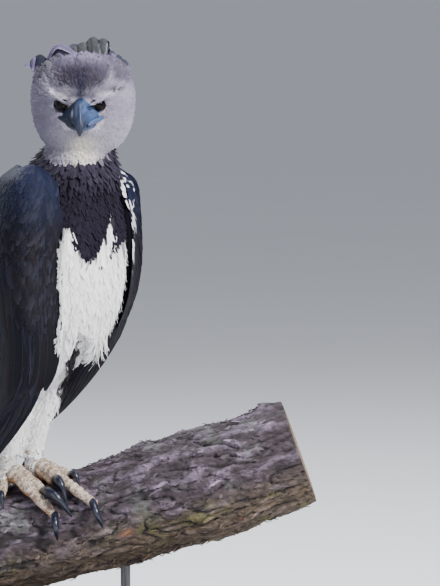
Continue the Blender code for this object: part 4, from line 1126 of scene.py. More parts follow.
def wing_feathers(name, surface, tier):
    """One tier of a wing's feathers, each edge nearer the front raised over the feather before it."""
    label, count, root_u, root_v, tip_u, tip_v, half, lift, steps, blue = tier
    side = surface.wing["side"]
    if label == "primaries" and side > 0:
        root_u, tip_u = (0.01, root_u[1]), (-0.05, tip_u[1])
    share = np.linspace(0, 1, count)
    jitter = lambda size: RANDOM.uniform(-size, size, count)
    u0 = root_u[0] + (root_u[1] - root_u[0]) * share + jitter(0.006)
    v0 = root_v[0] + (root_v[1] - root_v[0]) * share
    u1 = tip_u[0] + (tip_u[1] - tip_u[0]) * share + jitter(0.012)
    v1 = tip_v[0] + (tip_v[1] - tip_v[0]) * share + jitter(0.012)
    t = np.linspace(0, 1, steps)[None]
    u, v = u0[:, None] + (u1 - u0)[:, None] * t, v0[:, None] + (v1 - v0)[:, None] * t
    spots, outs = surface.at(u, v)
    thin = 0.30 + 0.70 * soft_step(u, 0.0, 0.18)
    rise = lift * np.minimum(1, 0.2 + 3 * t) * thin - 0.003 * (1 - np.minimum(1, 3 * t))
    paths = spots + outs * (rise + jitter(0.0006)[:, None] + 0.0008 * t**3)[..., None]
    if label == "primaries" and side > 0:
        near = 1 - soft_step(u, 0.08, 0.38)
        paths[..., 0] += FAR_EDGE * soft_step(v, 0.50, 0.66) * near
        outs = unit(outs + near[..., None] * np.array((0, -0.7, 0)))
    heading = unit(np.gradient(paths, axis=1))
    outs = unit(outs * math.cos(VANE_TILT) + side * np.cross(heading, outs) * math.sin(VANE_TILT))
    quill = label in ("primaries", "secondaries")
    shape = vane_widths(steps, 0.5, 0.22, 0.10, 0.80 if quill else 0.62)
    halves = (half * RANDOM.uniform(0.92, 1.08, count))[:, None] * shape[None]
    tones = tier_tones(count, blue)
    place = np.stack([0.05 + 0.9 * u0, 0.05 + 0.9 * v0], axis=-1)
    columns = 9
    worn = (RANDOM.random((count, 1)) < 0.45) * RANDOM.uniform(0.3, 1.0, (count, 1))
    return blades(
        f"{name}_{label}", FINISH["quill" if quill else "covert"], paths, outs, halves, tones, columns, 0.0009,
        0.09, place, tones * 0.85 + worn * WORN_EDGE,
    )


def small_coverts(name, surface, count=2500):
    """Small rounded feathers over the shoulder and along the wing's front edge, which soften the tiers."""
    v = RANDOM.uniform(0.0, 1.0, count) ** 1.2 * 0.46
    u = RANDOM.random(count) ** np.where(v > 0.30, 2.4, 1.0)
    keep = (u < 0.97) & ((v < 0.30) | (u < 0.16))
    u, v = u[keep], v[keep]
    order = np.argsort(-v)
    u, v = u[order], v[order]
    steps = 5
    wide = np.interp(v, (0.0, 0.20, 0.34), (0.080, 0.048, -0.010))
    pale = (1 - soft_step(u - wide, -0.010, 0.010)) * (RANDOM.random(len(u)) < 0.82)
    pale = pale * (surface.wing["side"] > 0)
    length = RANDOM.uniform(0.045, 0.065, len(u)) * (1 - 0.45 * pale)
    t = np.linspace(0, 1, steps)[None]
    spots, outs = surface.at(np.repeat(u[:, None], steps, axis=1), v[:, None] + length[:, None] * t)
    rise = 0.0076 + 0.0014 * t + RANDOM.uniform(-0.0004, 0.0012, len(u))[:, None] - 0.0035 * (1 - t) ** 3
    rise = rise * (1 - 0.55 * (1 - soft_step(v, 0.0, 0.05)) * (1 - pale))[:, None]
    edge = soft_step(u, 0.0, 0.16)[:, None]
    paths = spots + outs * (rise * (0.25 + 0.75 * edge))[..., None]
    halves = (RANDOM.uniform(0.0062, 0.0090, len(u)) * (1 - 0.30 * pale))[:, None] * vane_widths(steps, 0.6, 0.3, 0.2, 0.5)[None]
    tones = tier_tones(len(u), 0.0) * 1.05
    # Painted sheen: the small coverts turn blue towards the shoulder.
    shoulder_sheen = 1 - soft_step(v, 0.05, 0.26)
    tones = blend(tones, np.tile(WING_BLUE_SHEEN, (len(u), 1)) * RANDOM.uniform(0.7, 1.3, (len(u), 1)), shoulder_sheen * 0.8)
    tones = blend(tones, np.tile(np.array((0.72, 0.71, 0.76)), (len(u), 1)), pale)
    place = np.stack([0.05 + 0.9 * u, 0.05 + 0.9 * v], axis=-1)
    worn = (RANDOM.random((len(u), 1)) < 0.30) * RANDOM.uniform(0.3, 1.0, (len(u), 1)) * (1 - pale)[:, None]
    tips = tones * 0.9 + worn * WORN_EDGE
    return blades(f"{name}_small", FINISH["covert"], paths, outs, halves, tones, 5, 0.0007, 0.16, place, tips)


def edge_tufts(ground, surface, count=420):
    """White feathers of the belly that come out over the near wing's front edge."""
    steps = 7
    v = RANDOM.uniform(0.250, 0.545, count)
    reach = np.interp(v, (0.25, 0.29, 0.38, 0.46, 0.52, 0.545), (0.0000, 0.0100, 0.0060, 0.0010, 0.0100, 0.0080))
    clump = np.array([noise.noise(Vector((0.5, 3.0, x * 55.0))) for x in v])
    reach = reach * RANDOM.uniform(0.2, 1.0, count) + 0.0050 * clump
    edge, _ = surface.at(np.zeros(count), v)
    inner = RANDOM.uniform(0.012, 0.026, count)
    low = np.full(count, 1.0)
    roots, ways, cells = ground.nearest(edge + np.stack([inner, -0.004 * low, 0.012 * low], axis=-1))
    drop = RANDOM.uniform(0.004, 0.014, count)
    tips = edge + np.stack([0.0060 - reach, -0.0078 * low, -drop], axis=-1)
    t = np.linspace(0, 1, steps)[None, :, None]
    bends = (roots + tips) / 2 + ways * 0.006
    paths = (1 - t) ** 2 * (roots - ways * 0.001)[:, None] + 2 * t * (1 - t) * bends[:, None] + t**2 * tips[:, None]
    outs = np.broadcast_to(np.array((-0.35, -1.0, 0.25)), paths.shape).copy()
    halves = RANDOM.uniform(0.0014, 0.0028, count)[:, None] * vane_widths(steps, 0.6, 0.25, 0.12, 0.45)[None]
    tones = np.tile(WHITE, (count, 1)) * RANDOM.uniform(0.94, 1.0, (count, 1))
    return blades(
        "edge_tufts", FINISH["white"], paths, outs, halves, tones, 3, 0.0004, 0.10, ground.centres[cells], tones * 0.98
    )


def make_wing(name):
    """One folded wing: its body and its feathers in tiers over one another."""
    surface = WingSurface(name)
    shown_as(wing_core(name + "_core", surface), "wing_feather", name)
    for tier in WING_TIERS:
        shown_as(wing_feathers(name, surface, tier), "wing_feather")
    if surface.wing["side"] < 0:
        shown_as(wing_feathers(name, surface, FRONT_LOBE), "wing_feather")
    shown_as(small_coverts(name, surface), "wing_feather")


# Tail
def make_tail():
    """Twelve barred tail feathers, the middle pair on top, under coverts that run out over their roots."""
    down = np.array((0, math.cos(TAIL_DROP), -math.sin(TAIL_DROP)))
    face = np.array((0, math.sin(TAIL_DROP), math.cos(TAIL_DROP)))
    aside = np.array((1.0, 0, 0))
    root = np.array(TAIL_ROOT)
    steps = 26
    t = 0.02 + 0.98 * np.linspace(0, 1, steps)
    paths = []
    for k in range(TAIL_PAIRS):
        for side in (1, -1):
            layer = 2 * k + (side < 0)
            length = TAIL_LENGTH * (1 - 0.012 * k) + RANDOM.uniform(-0.003, 0.003)
            fan = math.sin(side * TAIL_FAN * (k + 1))
            drop = TAIL_LAYER * layer * np.minimum(1, 3 * t) + TAIL_DROOP * t * t
            paths.append(root + np.outer(length * t, down) + np.outer(length * t * fan, aside) - np.outer(drop, face))
    paths = transformed(np.array(paths), TO_WORLD)
    outs = np.broadcast_to(turned(face, TO_WORLD), paths.shape).copy()
    halves = np.tile(TAIL_HALF * 0.98 * vane_widths(steps, 0.4, 0.25, 0.12, 0.90), (len(paths), 1))
    tones = np.tile(np.array((0.010, 0.010, 0.014)), (len(paths), 1)) * RANDOM.uniform(0.85, 1.15, (len(paths), 1))
    place = np.column_stack([np.linspace(0.1, 0.9, len(paths)), np.full(len(paths), 0.2)])
    piece = blades("tail_feathers", FINISH["tail"], paths, outs, halves, tones, 9, 0.0011, 0.06, place)
    shown_as(piece, "tail_feather", "tail")
    loops = []
    angle = np.linspace(0, 2 * math.pi, 40, endpoint=False)
    for share in np.linspace(0, 1, 16):
        at, half, thick = smooth_at(TAIL_COVERTS, share)
        middle = root + down * (TAIL_LENGTH * at)
        loops.append(middle + np.outer(np.cos(angle) * half * 0.9, aside) + np.outer(np.sin(angle) * thick * 0.86, face))
    loops = transformed(np.array(loops), TO_WORLD)
    core = tube("tail_core", loops, FINISH["wing_core"], np.tile(WING_SLATE, (16 * 40, 1)))
    shown_as(core, "tail_feather")
    make_tail_coverts(loops, turned(face, TO_WORLD))


TAIL_COVERTS = (
    (0.00, (-0.08, 0.030, 0.026)),
    (0.28, (0.03, 0.038, 0.028)),
    (0.55, (0.14, 0.038, 0.023)),
    (0.80, (0.24, 0.033, 0.015)),
    (1.00, (0.32, 0.022, 0.009)),
)


def make_tail_coverts(loops, face):
    """Rounded coverts over and under the tail's root: dark with pale tips above, white and grey below."""
    rows, ring, _ = loops.shape
    count = 170
    r = RANDOM.uniform(0, 0.62, count) * (rows - 1)
    k = RANDOM.integers(0, ring, count)
    order = np.argsort(-r)
    r, k = r[order], k[order]
    steps = 8
    reach = RANDOM.uniform(0.30, 0.42, count) * (rows - 1)
    centres = loops.mean(axis=1)
    t = np.linspace(0, 1, steps)[None]
    at = np.clip(r[:, None] + reach[:, None] * t, 0, rows - 1.001)
    i = at.astype(int)
    f = (at - i)[..., None]
    spots = loops[i, k[:, None]] * (1 - f) + loops[i + 1, k[:, None]] * f
    middle = centres[i] * (1 - f) + centres[i + 1] * f
    outs = unit(spots - middle)
    paths = spots + outs * (0.0015 + 0.003 * t)[..., None]
    halves = RANDOM.uniform(0.011, 0.015, count)[:, None] * vane_widths(steps, 0.5, 0.3, 0.15, 0.6)[None]
    above = (outs[:, 0] * face).sum(axis=1) > -0.25
    tones = np.where(above[:, None], WING_SLATE * 1.5, np.array((0.50, 0.50, 0.52)))
    tones = tones * RANDOM.uniform(0.8, 1.2, (count, 1))
    place = np.column_stack([k / ring, r / rows])
    piece = blades("tail_coverts", FINISH["covert"], paths, outs, halves, tones, 7, 0.0009, 0.25, place)
    shown_as(piece, "tail_feather")


# Crest feathers in front, by the photograph's pixels and the depth behind the head's middle in millimetres: root,
# bend, tip, half width in pixels and colour
LILAC = (0.120, 0.098, 0.185)
MOSS = (0.056, 0.060, 0.066)
INK = (0.012, 0.014, 0.028)
CREST = (
    ((41, 74, 34), (37, 36, 40), (36, 70, 8), 8.4, INK),
    ((38, 72, 30), (30, 42, 34), (31, 71, 12), 4.6, LILAC),
    ((38, 70, 26), (28, 62, 24), (22, 64.5, 22), 2.8, LILAC),
    ((43, 68, 26), (51, 27, 34), (75, 54, 14), 4.6, LILAC),
    ((46, 72, 20), (53, 35, 28), (71, 60, 10), 4.6, INK),
    ((50, 74, 18), (60, 44, 24), (70, 64, 6), 4.8, MOSS),
    ((80, 66, 36), (80, 22, 42), (80, 58, 14), 8.6, MOSS),
    ((73, 66, 32), (72, 32, 38), (72, 60, 12), 6.4, MOSS),
    ((90, 66, 38), (90, 12, 44), (90, 58, 14), 7.8, MOSS),
    ((101, 68, 38), (100, 12, 44), (100, 62, 14), 8.2, MOSS),
    ((86, 66, 30), (86, 34, 36), (87, 62, 10), 5.6, MOSS),
    ((95, 66, 30), (95, 26, 36), (95, 62, 10), 5.6, MOSS),
    ((108, 72, 34), (110, 38, 38), (109, 68, 12), 5.2, LILAC),
    ((96, 70, 20), (104, 44, 26), (111, 64, 10), 4.2, LILAC),
    ((102, 76, 20), (112, 52, 28), (119, 72, 20), 4.2, LILAC),
    ((106, 82, 20), (118, 60, 30), (125, 80, 26), 4.0, MOSS),
)
CREST_FILL = 70
CREST_BACK_ROWS = (
    (5, (0.16, 0.62), 0.42, (0.70, 0.52), (20, 12), (0.046, 0.038), 0.0140, 0.006),
    (5, (0.12, 0.60), 0.60, (0.60, 0.46), (8, 2), (0.062, 0.052), 0.0150, 0.010),
    (5, (0.08, 0.52), 0.82, (0.44, 0.38), (-6, -16), (0.084, 0.070), 0.0150, 0.012),
)
CREST_SINK = 0.009
HEAD_PIXEL = (80.5, 96.0)


def seen_at(x, y, depth):
    """The head-frame point, in metres, that shows at one pixel of the photograph at that depth."""
    up = (HEAD_PIXEL[1] - y) * PIXEL
    return np.array(((x - HEAD_PIXEL[0]) * PIXEL, depth * 0.001, (up - 0.276 * depth * 0.001) / 0.961))


def make_crest():
    """The double crest: broad feathers whose round ends curl over behind the crown, and long ones that lie back."""
    steps = 14
    t = np.linspace(0, 1, steps)[:, None]
    paths, outs, halves, tones, cups = [], [], [], [], []
    for root, bend, tip, half, tone in CREST:
        a, b, c = (seen_at(*p) for p in (root, bend, tip))
        path = (1 - t) ** 2 * a + 2 * t * (1 - t) * b + t * t * c
        middle = (a + c) / 2
        widths = half * PIXEL * vane_widths(steps, 0.55, 0.3, 0.30, 0.70)
        bunch = 3 if tone == MOSS else 1
        step = 0.05 if tone == MOSS else 0.035
        for j in range(bunch):
            aside = 2 * j / (bunch - 1) - 1 if bunch > 1 else 0.0
            for k in range(3):
                size = 1 - step * k - 0.12 * aside**2 + RANDOM.uniform(-0.03, 0.03) * (bunch > 1)
                stray = 0.0010 if bunch > 1 else 0.0006
                shift = (aside * 0.42 * half * PIXEL + RANDOM.uniform(-stray, stray), 0, RANDOM.uniform(-0.001, 0.001))
                paths.append(middle + (path - middle) * size + np.array(shift))
                outs.append(path - middle + np.array((aside * 0.012, 0, 0)))
                halves.append(widths * RANDOM.uniform(0.92, 1.06) * (0.78 if bunch > 1 else 1.0))
                cups.append(0.72 if bunch > 1 else 0.85)
                shade = RANDOM.uniform(0.80, 1.10) if bunch > 1 else RANDOM.uniform(0.92, 1.06)
                tones.append(tuple(np.array(tone) * shade))
    for _ in range(CREST_FILL):
        px = RANDOM.uniform(50, 112)
        top = 56 + 0.006 * (px - 82) ** 2
        a = seen_at(px + RANDOM.uniform(-3, 3), top + 12, 8 + RANDOM.uniform(0, 10))
        c = seen_at(px + RANDOM.uniform(-5, 5), top - RANDOM.uniform(-2, 4), 24 + RANDOM.uniform(0, 10))
        path = a + (c - a) * t + np.outer(np.sin(math.pi * t[:, 0]), np.array((0, -0.003, 0.003)))
        paths.append(path)
        outs.append(np.tile(np.array((0, -1.0, 0.8)), (steps, 1)))
        halves.append(RANDOM.uniform(0.0050, 0.0075) * vane_widths(steps, 0.45, 0.4, 0.25, 0.55))
        cups.append(0.40)
        share = RANDOM.uniform(0, 1)
        tones.append(tuple((np.array(LILAC) * share + np.array(MOSS) * (1 - share)) * RANDOM.uniform(0.8, 1.2)))
    for side in (1, -1):
        for count, spread, back, height, rise, length, half, bend in CREST_BACK_ROWS:
            for k in range(count):
                share = k / (count - 1)
                aside = spread[0] + (spread[1] - spread[0]) * share
                way = Vector((aside, back, height[0] + (height[1] - height[0]) * share)).normalized()
                angle = math.radians(rise[0] + (rise[1] - rise[0]) * share + RANDOM.uniform(-5, 5))
                heading = Vector((aside * 0.75, math.cos(angle), math.sin(angle))).normalized()
                face = Vector((0.35 * aside, -math.sin(angle), math.cos(angle))).normalized()
                long = length[0] + (length[1] - length[0]) * share + RANDOM.uniform(-0.004, 0.004)
                start = way * (head_reach(way) - CREST_SINK)
                mirror = np.array((side, 1.0, 1.0))
                path = np.array(start) + t * long * np.array(heading) - bend * t**2 * np.array(face)
                paths.append(path * mirror)
                outs.append(np.tile(np.array(face) * mirror, (steps, 1)))
                halves.append(half * vane_widths(steps, 0.45, 0.4, 0.2, 0.6))
                cups.append(0.42)
                shade = RANDOM.uniform(0, 1)
                tones.append(tuple(np.array(INK) * (1.6 - shade) + np.array(MOSS) * shade * 0.6))
    paths = transformed(np.array(paths), HEAD_TO_WORLD)
    outs = turned(np.array(outs), HEAD_TO_WORLD)
    tones = np.array(tones)
    place = np.column_stack([np.linspace(0.05, 0.95, len(paths)), np.full(len(paths), 0.5)])
    piece = blades(
        "crest", FINISH["crest"], paths, outs, np.array(halves), tones, 9, 0.0009, cups, place, tones * 0.8
    )
    shown_as(piece, "crest_feather", "crest_left", "crest_right")


# Bill
NOSTRIL_PLACE = Vector((0.0135, -0.0745, 0.0005))
BILL_SIDES = 56
HORN_DARK = np.array((0.006, 0.008, 0.018))
# Painted reflection: these blues stand for the sky mirrored on the bill's lit side, painted over the horn's dark slate.
HORN_BLUE_SHEEN = np.array((0.050, 0.098, 0.235))
CERE_BLUE_SHEEN = np.array((0.040, 0.078, 0.185))
LIP_PINK = np.array((0.26, 0.10, 0.06))


def bill_loops(stations, start, end, rings, pinch, grow, sides=BILL_SIDES):
    """Rings of a stretch of the bill in the head's frame, rounder at the tip."""
    loops = []
    angle = 2 * math.pi * (np.arange(sides) + 0.5) / sides
    for share in np.linspace(start, end, rings):
        forward, high, low, wide = smooth_at(stations, share)
        across, upright = np.cos(angle), np.sin(angle)
        square = np.sign(across) * np.abs(across) ** (BILL_SQUARENESS + 0.35 * share**3)
        narrow = 1 - pinch * (1 + upright) / 2
        height = (high + low) / 2 + ((high - low) / 2 + grow) * upright
        loops.append(np.column_stack([(wide + grow) * square * narrow, np.full(sides, -forward), height]) * CM)
    return np.array(loops)


def bill_tone(points, base, seed):
    """Colours of the horn: dark along its ridge and tip, a painted blue reflection of the sky on its sides, painted
    shade on the side at negative x with painted highlights, pinkish along its edges.
    """
    x, y, z = points.T
    forward = -y
    streak = noise_at(points * np.array((1, 0.35, 1)), 160.0, seed)
    tone = blend(np.tile(base, (len(points), 1)), np.tile(HORN_DARK, (len(points), 1)), soft_step(forward, 0.078, 0.104))
    # Painted reflection: streaks of the blue sheen.
    tone = blend(tone, np.tile(HORN_BLUE_SHEEN, (len(points), 1)), soft_step(streak, -0.1, 0.7) * 0.35)
    # Painted shade: the side at negative x is darkened.
    tone = toned(tone, HORN_DARK * 1.6, (1 - soft_step(x, -0.007, 0.0)) * 0.88)
    # Painted highlights: pale streaks on the side at negative x.
    tone = toned(tone, (0.20, 0.22, 0.28), spot(x, z, -0.0125, -0.003, 0.0015, 0.0070) * soft_step(streak, -0.4, 0.3))
    tone = toned(tone, (0.13, 0.16, 0.24), spot(x, z, -0.0060, 0.006, 0.0024, 0.0090) * 0.6)
    tone = toned(tone, (0.008, 0.016, 0.050), np.exp(-(((x - 0.0006) / 0.0030) ** 2)) * soft_step(z, -0.024, -0.014))
    return tone * (1 + 0.15 * streak)[:, None]


def make_bill():
    """The cere with its nostrils, the hooked upper bill, the lower bill and the lips along the mouth."""
    cere = bill_loops(UPPER_BILL, 0.0, CERE_END, 34, 0.80, CERE_STEP)
    rounded = np.sqrt(np.clip(1 - (np.clip(np.linspace(0, 1, 34) - 0.90, 0, 1) / 0.10) ** 2, 0.0, 1))
    middle = cere.mean(axis=1, keepdims=True)
    cere = middle + (cere - middle) * (0.93 + 0.07 * rounded)[:, None, None]
    for side in (1, -1):
        place = np.array(mirrored(NOSTRIL_PLACE, side))
        away = cere - place
        slant = math.radians(25)
        along = away[..., 1] * math.cos(slant) - away[..., 2] * math.sin(slant)
        upright = away[..., 1] * math.sin(slant) + away[..., 2] * math.cos(slant)
        near = np.exp(-((along / 0.0042) ** 2) - ((upright / 0.0022) ** 2)) * (cere[..., 0] * side > 0)
        rim = np.exp(-((along / 0.0068) ** 2) - ((upright / 0.0042) ** 2)) * (cere[..., 0] * side > 0)
        cere[..., 0] += side * (0.0010 * rim - 0.0075 * near)
    flat = cere.reshape(-1, 3)
    pores = noise_at(flat, 420.0, 2.0)
    out = unit(flat - np.repeat(middle[:, 0], cere.shape[1], axis=0))
    flat = flat + out * (0.00025 * pores + 0.0004 * noise_at(flat, 110.0, 6.0))[:, None]
    # Painted reflection: the cere's blue sheen.
    tone = bill_tone(flat, CERE_BLUE_SHEEN, 1.0)
    # Painted shade: near-black in the nostril openings.
    for side in (1, -1):
        away = np.linalg.norm((flat - np.array(mirrored(NOSTRIL_PLACE, side))) * np.array((0.4, 0.7, 1.3)), axis=1)
        tone = blend(tone, np.tile(np.array((0.008, 0.008, 0.010)), (len(flat), 1)), 1 - soft_step(away, 0.0020, 0.0036))
    cere = transformed(flat, HEAD_TO_WORLD).reshape(cere.shape)
    shown_as(tube("bill_cere", cere, FINISH["cere"], tone), "cere_skin", "cere")
    upper = bill_loops(UPPER_BILL, CERE_END - 0.06, 1.0, 60, 0.80, 0.0)
    flat = upper.reshape(-1, 3)
    flat = flat + unit(flat - np.repeat(upper.mean(axis=1), BILL_SIDES, axis=0)) * (
        0.00022 * noise_at(flat * np.array((1, 0.3, 1)), 300.0, 5.0)
    )[:, None]
    # Painted reflection: the upper bill's blue sheen.
    tone = bill_tone(flat, HORN_BLUE_SHEEN * 0.55, 3.0)
    edge = 1 - soft_step(flat[:, 2] - np.repeat(upper[..., 2].min(axis=1), BILL_SIDES), 0.0006, 0.0024)
    tone = blend(tone, np.tile(LIP_PINK * 0.55, (len(flat), 1)), edge * 0.5)
    upper = transformed(flat, HEAD_TO_WORLD).reshape(upper.shape)
    shown_as(tube("bill_upper_horn", upper, FINISH["horn"], tone), "bill_horn", "bill_upper")
    lower = bill_loops(LOWER_BILL, 0.0, 1.0, 36, 0.0, 0.0, 40)
    flat = lower.reshape(-1, 3)
    # Painted reflection: the lower bill's blue sheen.
    tone = bill_tone(flat, HORN_BLUE_SHEEN * 0.5, 7.0)
    lower = transformed(flat, HEAD_TO_WORLD).reshape(lower.shape)
    shown_as(tube("bill_lower_horn", lower, FINISH["horn"], tone), "bill_horn", "bill_lower")
    for side, label in ((1, "left"), (-1, "right")):
        path = np.array([smooth_at(LIP, t) for t in np.linspace(0, 1, 30)]) * CM
        path[:, 0] *= side
        radius = 0.0014 + 0.0034 * np.sin(math.pi * np.linspace(0.06, 0.90, 30)) ** 0.8
        radius = radius * (1 + 0.03 * np.sin(np.linspace(0, 44, 30)))
        loops = rings_along(path, radius, np.array((0, 0, 1.0)), 20, 1.0)
        flat = loops.reshape(-1, 3)
        low = 1 - soft_step(flat[:, 2] - np.repeat(path[:, 2], 20), -0.0030, -0.0010)
        # Painted shade: the lip on the side at negative x is darkened.
        base = CERE_BLUE_SHEEN * (1.0 if side > 0 else 0.12)
        rosy = LIP_PINK * (1.0 if side > 0 else 0.4)
        tone = toned(np.tile(base, (len(flat), 1)), rosy, low * (0.5 + 0.4 * noise_at(flat, 260.0, 8.0)))
        loops = transformed(flat, HEAD_TO_WORLD).reshape(loops.shape)
        shown_as(tube("bill_lip_" + label, loops, FINISH["cere"], tone), "cere_skin")


# Lip, from the mouth's corner to the bill's front: sideways, y and up, in centimetres
LIP = (
    (0.00, (3.42, -6.4, -1.36)),
    (0.25, (2.88, -7.0, -1.36)),
    (0.50, (2.30, -7.5, -1.46)),
    (0.75, (1.75, -8.1, -1.64)),
    (1.00, (1.15, -8.8, -1.88)),
)


def rings_along(path, radii, hint, sides, flatten=1.0):
    """Rings round a path of points, with one side kept towards hint."""
    heading = unit(np.gradient(path, axis=0))
    across = unit(np.cross(heading, hint))
    along = np.cross(across, heading)
    angle = np.linspace(0, 2 * math.pi, sides, endpoint=False)
    spread = across[:, None] * np.cos(angle)[None, :, None] + flatten * along[:, None] * np.sin(angle)[None, :, None]
    return path[:, None] + spread * np.asarray(radii)[:, None, None]


# Eyes
PUPIL_ANGLE = math.radians(24)
IRIS_ANGLE = math.radians(47)
LID_OVAL = 0.84


def make_eye(side):
    """An eyeball with its iris and clear cornea, and the lids round it."""
    label = "left" if side > 0 else "right"
    place = eye_matrix(side)
    rows, ring = 56, 64
    fall = np.linspace(0.01, math.pi - 0.01, rows)
    around = np.linspace(0, 2 * math.pi, ring, endpoint=False)
    reach = EYE_RADIUS * (1 + 0.055 * (1 - soft_step(fall, 0.2, IRIS_ANGLE + 0.12)))
    reach = reach * (1 - 0.20 * soft_step(fall, math.radians(64), math.radians(88)))
    loops = np.stack(
        [
            np.outer(np.sin(fall) * reach, np.cos(around)),
            np.outer(np.sin(fall) * reach, np.sin(around)),
            np.repeat((np.cos(fall) * reach)[:, None], ring, axis=1),
        ],
        axis=-1,
    )
    turns = np.tile(around, rows)
    falls = np.repeat(fall, ring)
    rays = np.array([noise.noise(Vector((math.cos(a) * 7, math.sin(a) * 7, f * 3))) for a, f in zip(turns, falls)])
    iris = np.array((0.0070, 0.0042, 0.0034)) * (1 + 0.7 * rays)[:, None]
    dark = np.tile(np.array((0.001, 0.001, 0.0012)), (len(turns), 1))
    tone = blend(iris, dark, 1 - soft_step(falls, PUPIL_ANGLE - 0.04, PUPIL_ANGLE + 0.04))
    tone = blend(tone, np.tile(np.array((0.004, 0.003, 0.003)), (len(turns), 1)), soft_step(falls, IRIS_ANGLE - 0.1, IRIS_ANGLE))
    loops = transformed(loops.reshape(-1, 3), place).reshape(loops.shape)
    shown_as(tube("eyeball_" + label, loops, FINISH["eye"], tone), "eye", "eye_" + label)
    make_lids(side, label, place)


def make_lids(side, label, place):
    """Thin wrinkled lids: a rim of skin that sits on the eyeball."""
    steps, section = 96, 16
    around = np.linspace(0, 2 * math.pi, steps, endpoint=False)
    angle = np.linspace(0, 2 * math.pi, section, endpoint=False)
    top = np.clip(np.sin(around), 0, 1)
    thick = 0.0009 - 0.0002 * top
    radius = EYE_RADIUS * (0.88 - 0.07 * top + 0.02 * np.cos(around * 2))
    ways = np.stack([np.cos(around), np.sin(around) * LID_OVAL, np.zeros(steps)], axis=-1)
    height = EYE_RADIUS * (0.46 + 0.10 * top)
    centre = ways * radius[:, None] + np.array((0, 0, 1.0)) * height[:, None]
    wrinkle = 1 + 0.10 * np.sin(around * 31)[:, None] + 0.06 * np.sin(angle * 5)[None]
    out = (thick[:, None] * np.cos(angle)[None] * 1.5 * wrinkle)[..., None] * unit(ways)[:, None]
    loops = centre[:, None] + out + (thick[:, None] * np.sin(angle)[None] * wrinkle)[..., None] * np.array((0, 0, 1.0))
    flat = transformed(loops.reshape(-1, 3), place)
    r = np.arange(steps)[:, None] * section
    after = ((np.arange(steps) + 1) % steps)[:, None] * section
    k = np.arange(section)[None]
    m = (k + 1) % section
    faces = np.stack([r + k, r + m, after + m, after + k], axis=-1).reshape(-1, 4)
    if signed_volume(flat, faces, np.zeros((0, 3), dtype=int)) < 0:
        faces = faces[:, ::-1]
    place_map = np.stack(np.meshgrid(np.linspace(0.02, 0.98, section), np.linspace(0.02, 0.98, steps)), axis=-1)
    tone = np.tile(np.array((0.008, 0.008, 0.012)), (len(flat), 1)) * (1 + 0.3 * noise_at(flat, 500.0))[:, None]
    piece = mesh_piece("lids_" + label, flat, [faces], FINISH["lid"], tone, None, place_map.reshape(-1, 2))
    shown_as(piece, "head_feather")


# Feet
def branch_at(x):
    """Middle and radius of the branch at a distance along world X from the feet, in the world."""
    height, radius = smooth_at(BRANCH, x / CM)
    return Vector((FEET.x + x, FEET.y + BRANCH_Y, FEET.z + height * CM)), radius * CM


def on_branch(x, degrees, height):
    """A world point over the branch: x from the feet in centimetres, degrees towards the viewer, height in metres
    above the bark."""
    middle, radius = branch_at(x * CM)
    ahead, _ = branch_at(x * CM + 0.01)
    heading = (ahead - middle).normalized()
    up = Vector((0, -1, 0)).cross(heading)
    reach = radius + height
    angle = math.radians(degrees)
    return middle + up * (reach * math.cos(angle)) + Vector((0, -reach * math.sin(angle), 0))


def away_from_branch(point):
    """The way out from the branch's middle line at a world point."""
    middle, _ = branch_at(point.x - FEET.x)
    return (point - middle).normalized()


def between(a, b, share):
    """A place between two (x, degrees) places on the branch."""
    return a[0] + (b[0] - a[0]) * share, a[1] + (b[1] - a[1]) * share


TOE_SCUTES = 11
TOE_RINGS = 92
TOE_SIDES = 30


def toe_loops(root, tip, share_wide, seed):
    """Rings of a toe laid on the branch: cushions below at its joints and overlapping plates on top."""
    loops = []
    for i in range(TOE_RINGS):
        share = i / (TOE_RINGS - 1)
        height = 0.016 * (1 - share) ** 1.5 + 0.0075
        point = on_branch(*between(root, tip, share), height)
        before = on_branch(*between(root, tip, share - 0.04), height)
        after = on_branch(*between(root, tip, share + 0.04), height)
        heading = (after - before).normalized()
        radius = share_wide * (TOE_ROOT_RADIUS + (TOE_TIP_RADIUS - TOE_ROOT_RADIUS) * share)
        radius *= math.sqrt(max(0.05, 1 - (max(0.0, share - 0.90) / 0.10) ** 2 * 0.85))
        radius *= 1 + 0.07 * math.cos(2 * math.pi * 3.0 * share)
        across = heading.cross(away_from_branch(point)).normalized()
        up = across.cross(heading)
        pad = 0.08 * math.cos(2 * math.pi * 2.5 * share)
        within = (share * TOE_SCUTES) % 1.0
        plate = 0.0034 * (within**1.6 - 0.25 - max(0.0, within - 0.80) * 6)
        angle = 2 * math.pi * np.arange(TOE_SIDES) / TOE_SIDES + math.pi / 2
        rise = np.sin(angle)
        over, under = np.clip(rise, 0, 1) ** 0.5, np.clip(-rise, 0, 1)
        reach = radius * (1 + pad * under) + plate * over
        grain = [noise.noise(Vector((math.cos(a) * 2.2, math.sin(a) * 2.2, share * 26 + seed))) for a in angle]
        reach = reach + 0.0006 * under * np.array(grain) + 0.0004 * np.array(grain) * (1 - over)
        loops.append(
            np.array(point) + np.outer(reach * np.cos(angle), across) + np.outer(reach * rise, up)
        )
    return np.array(loops)


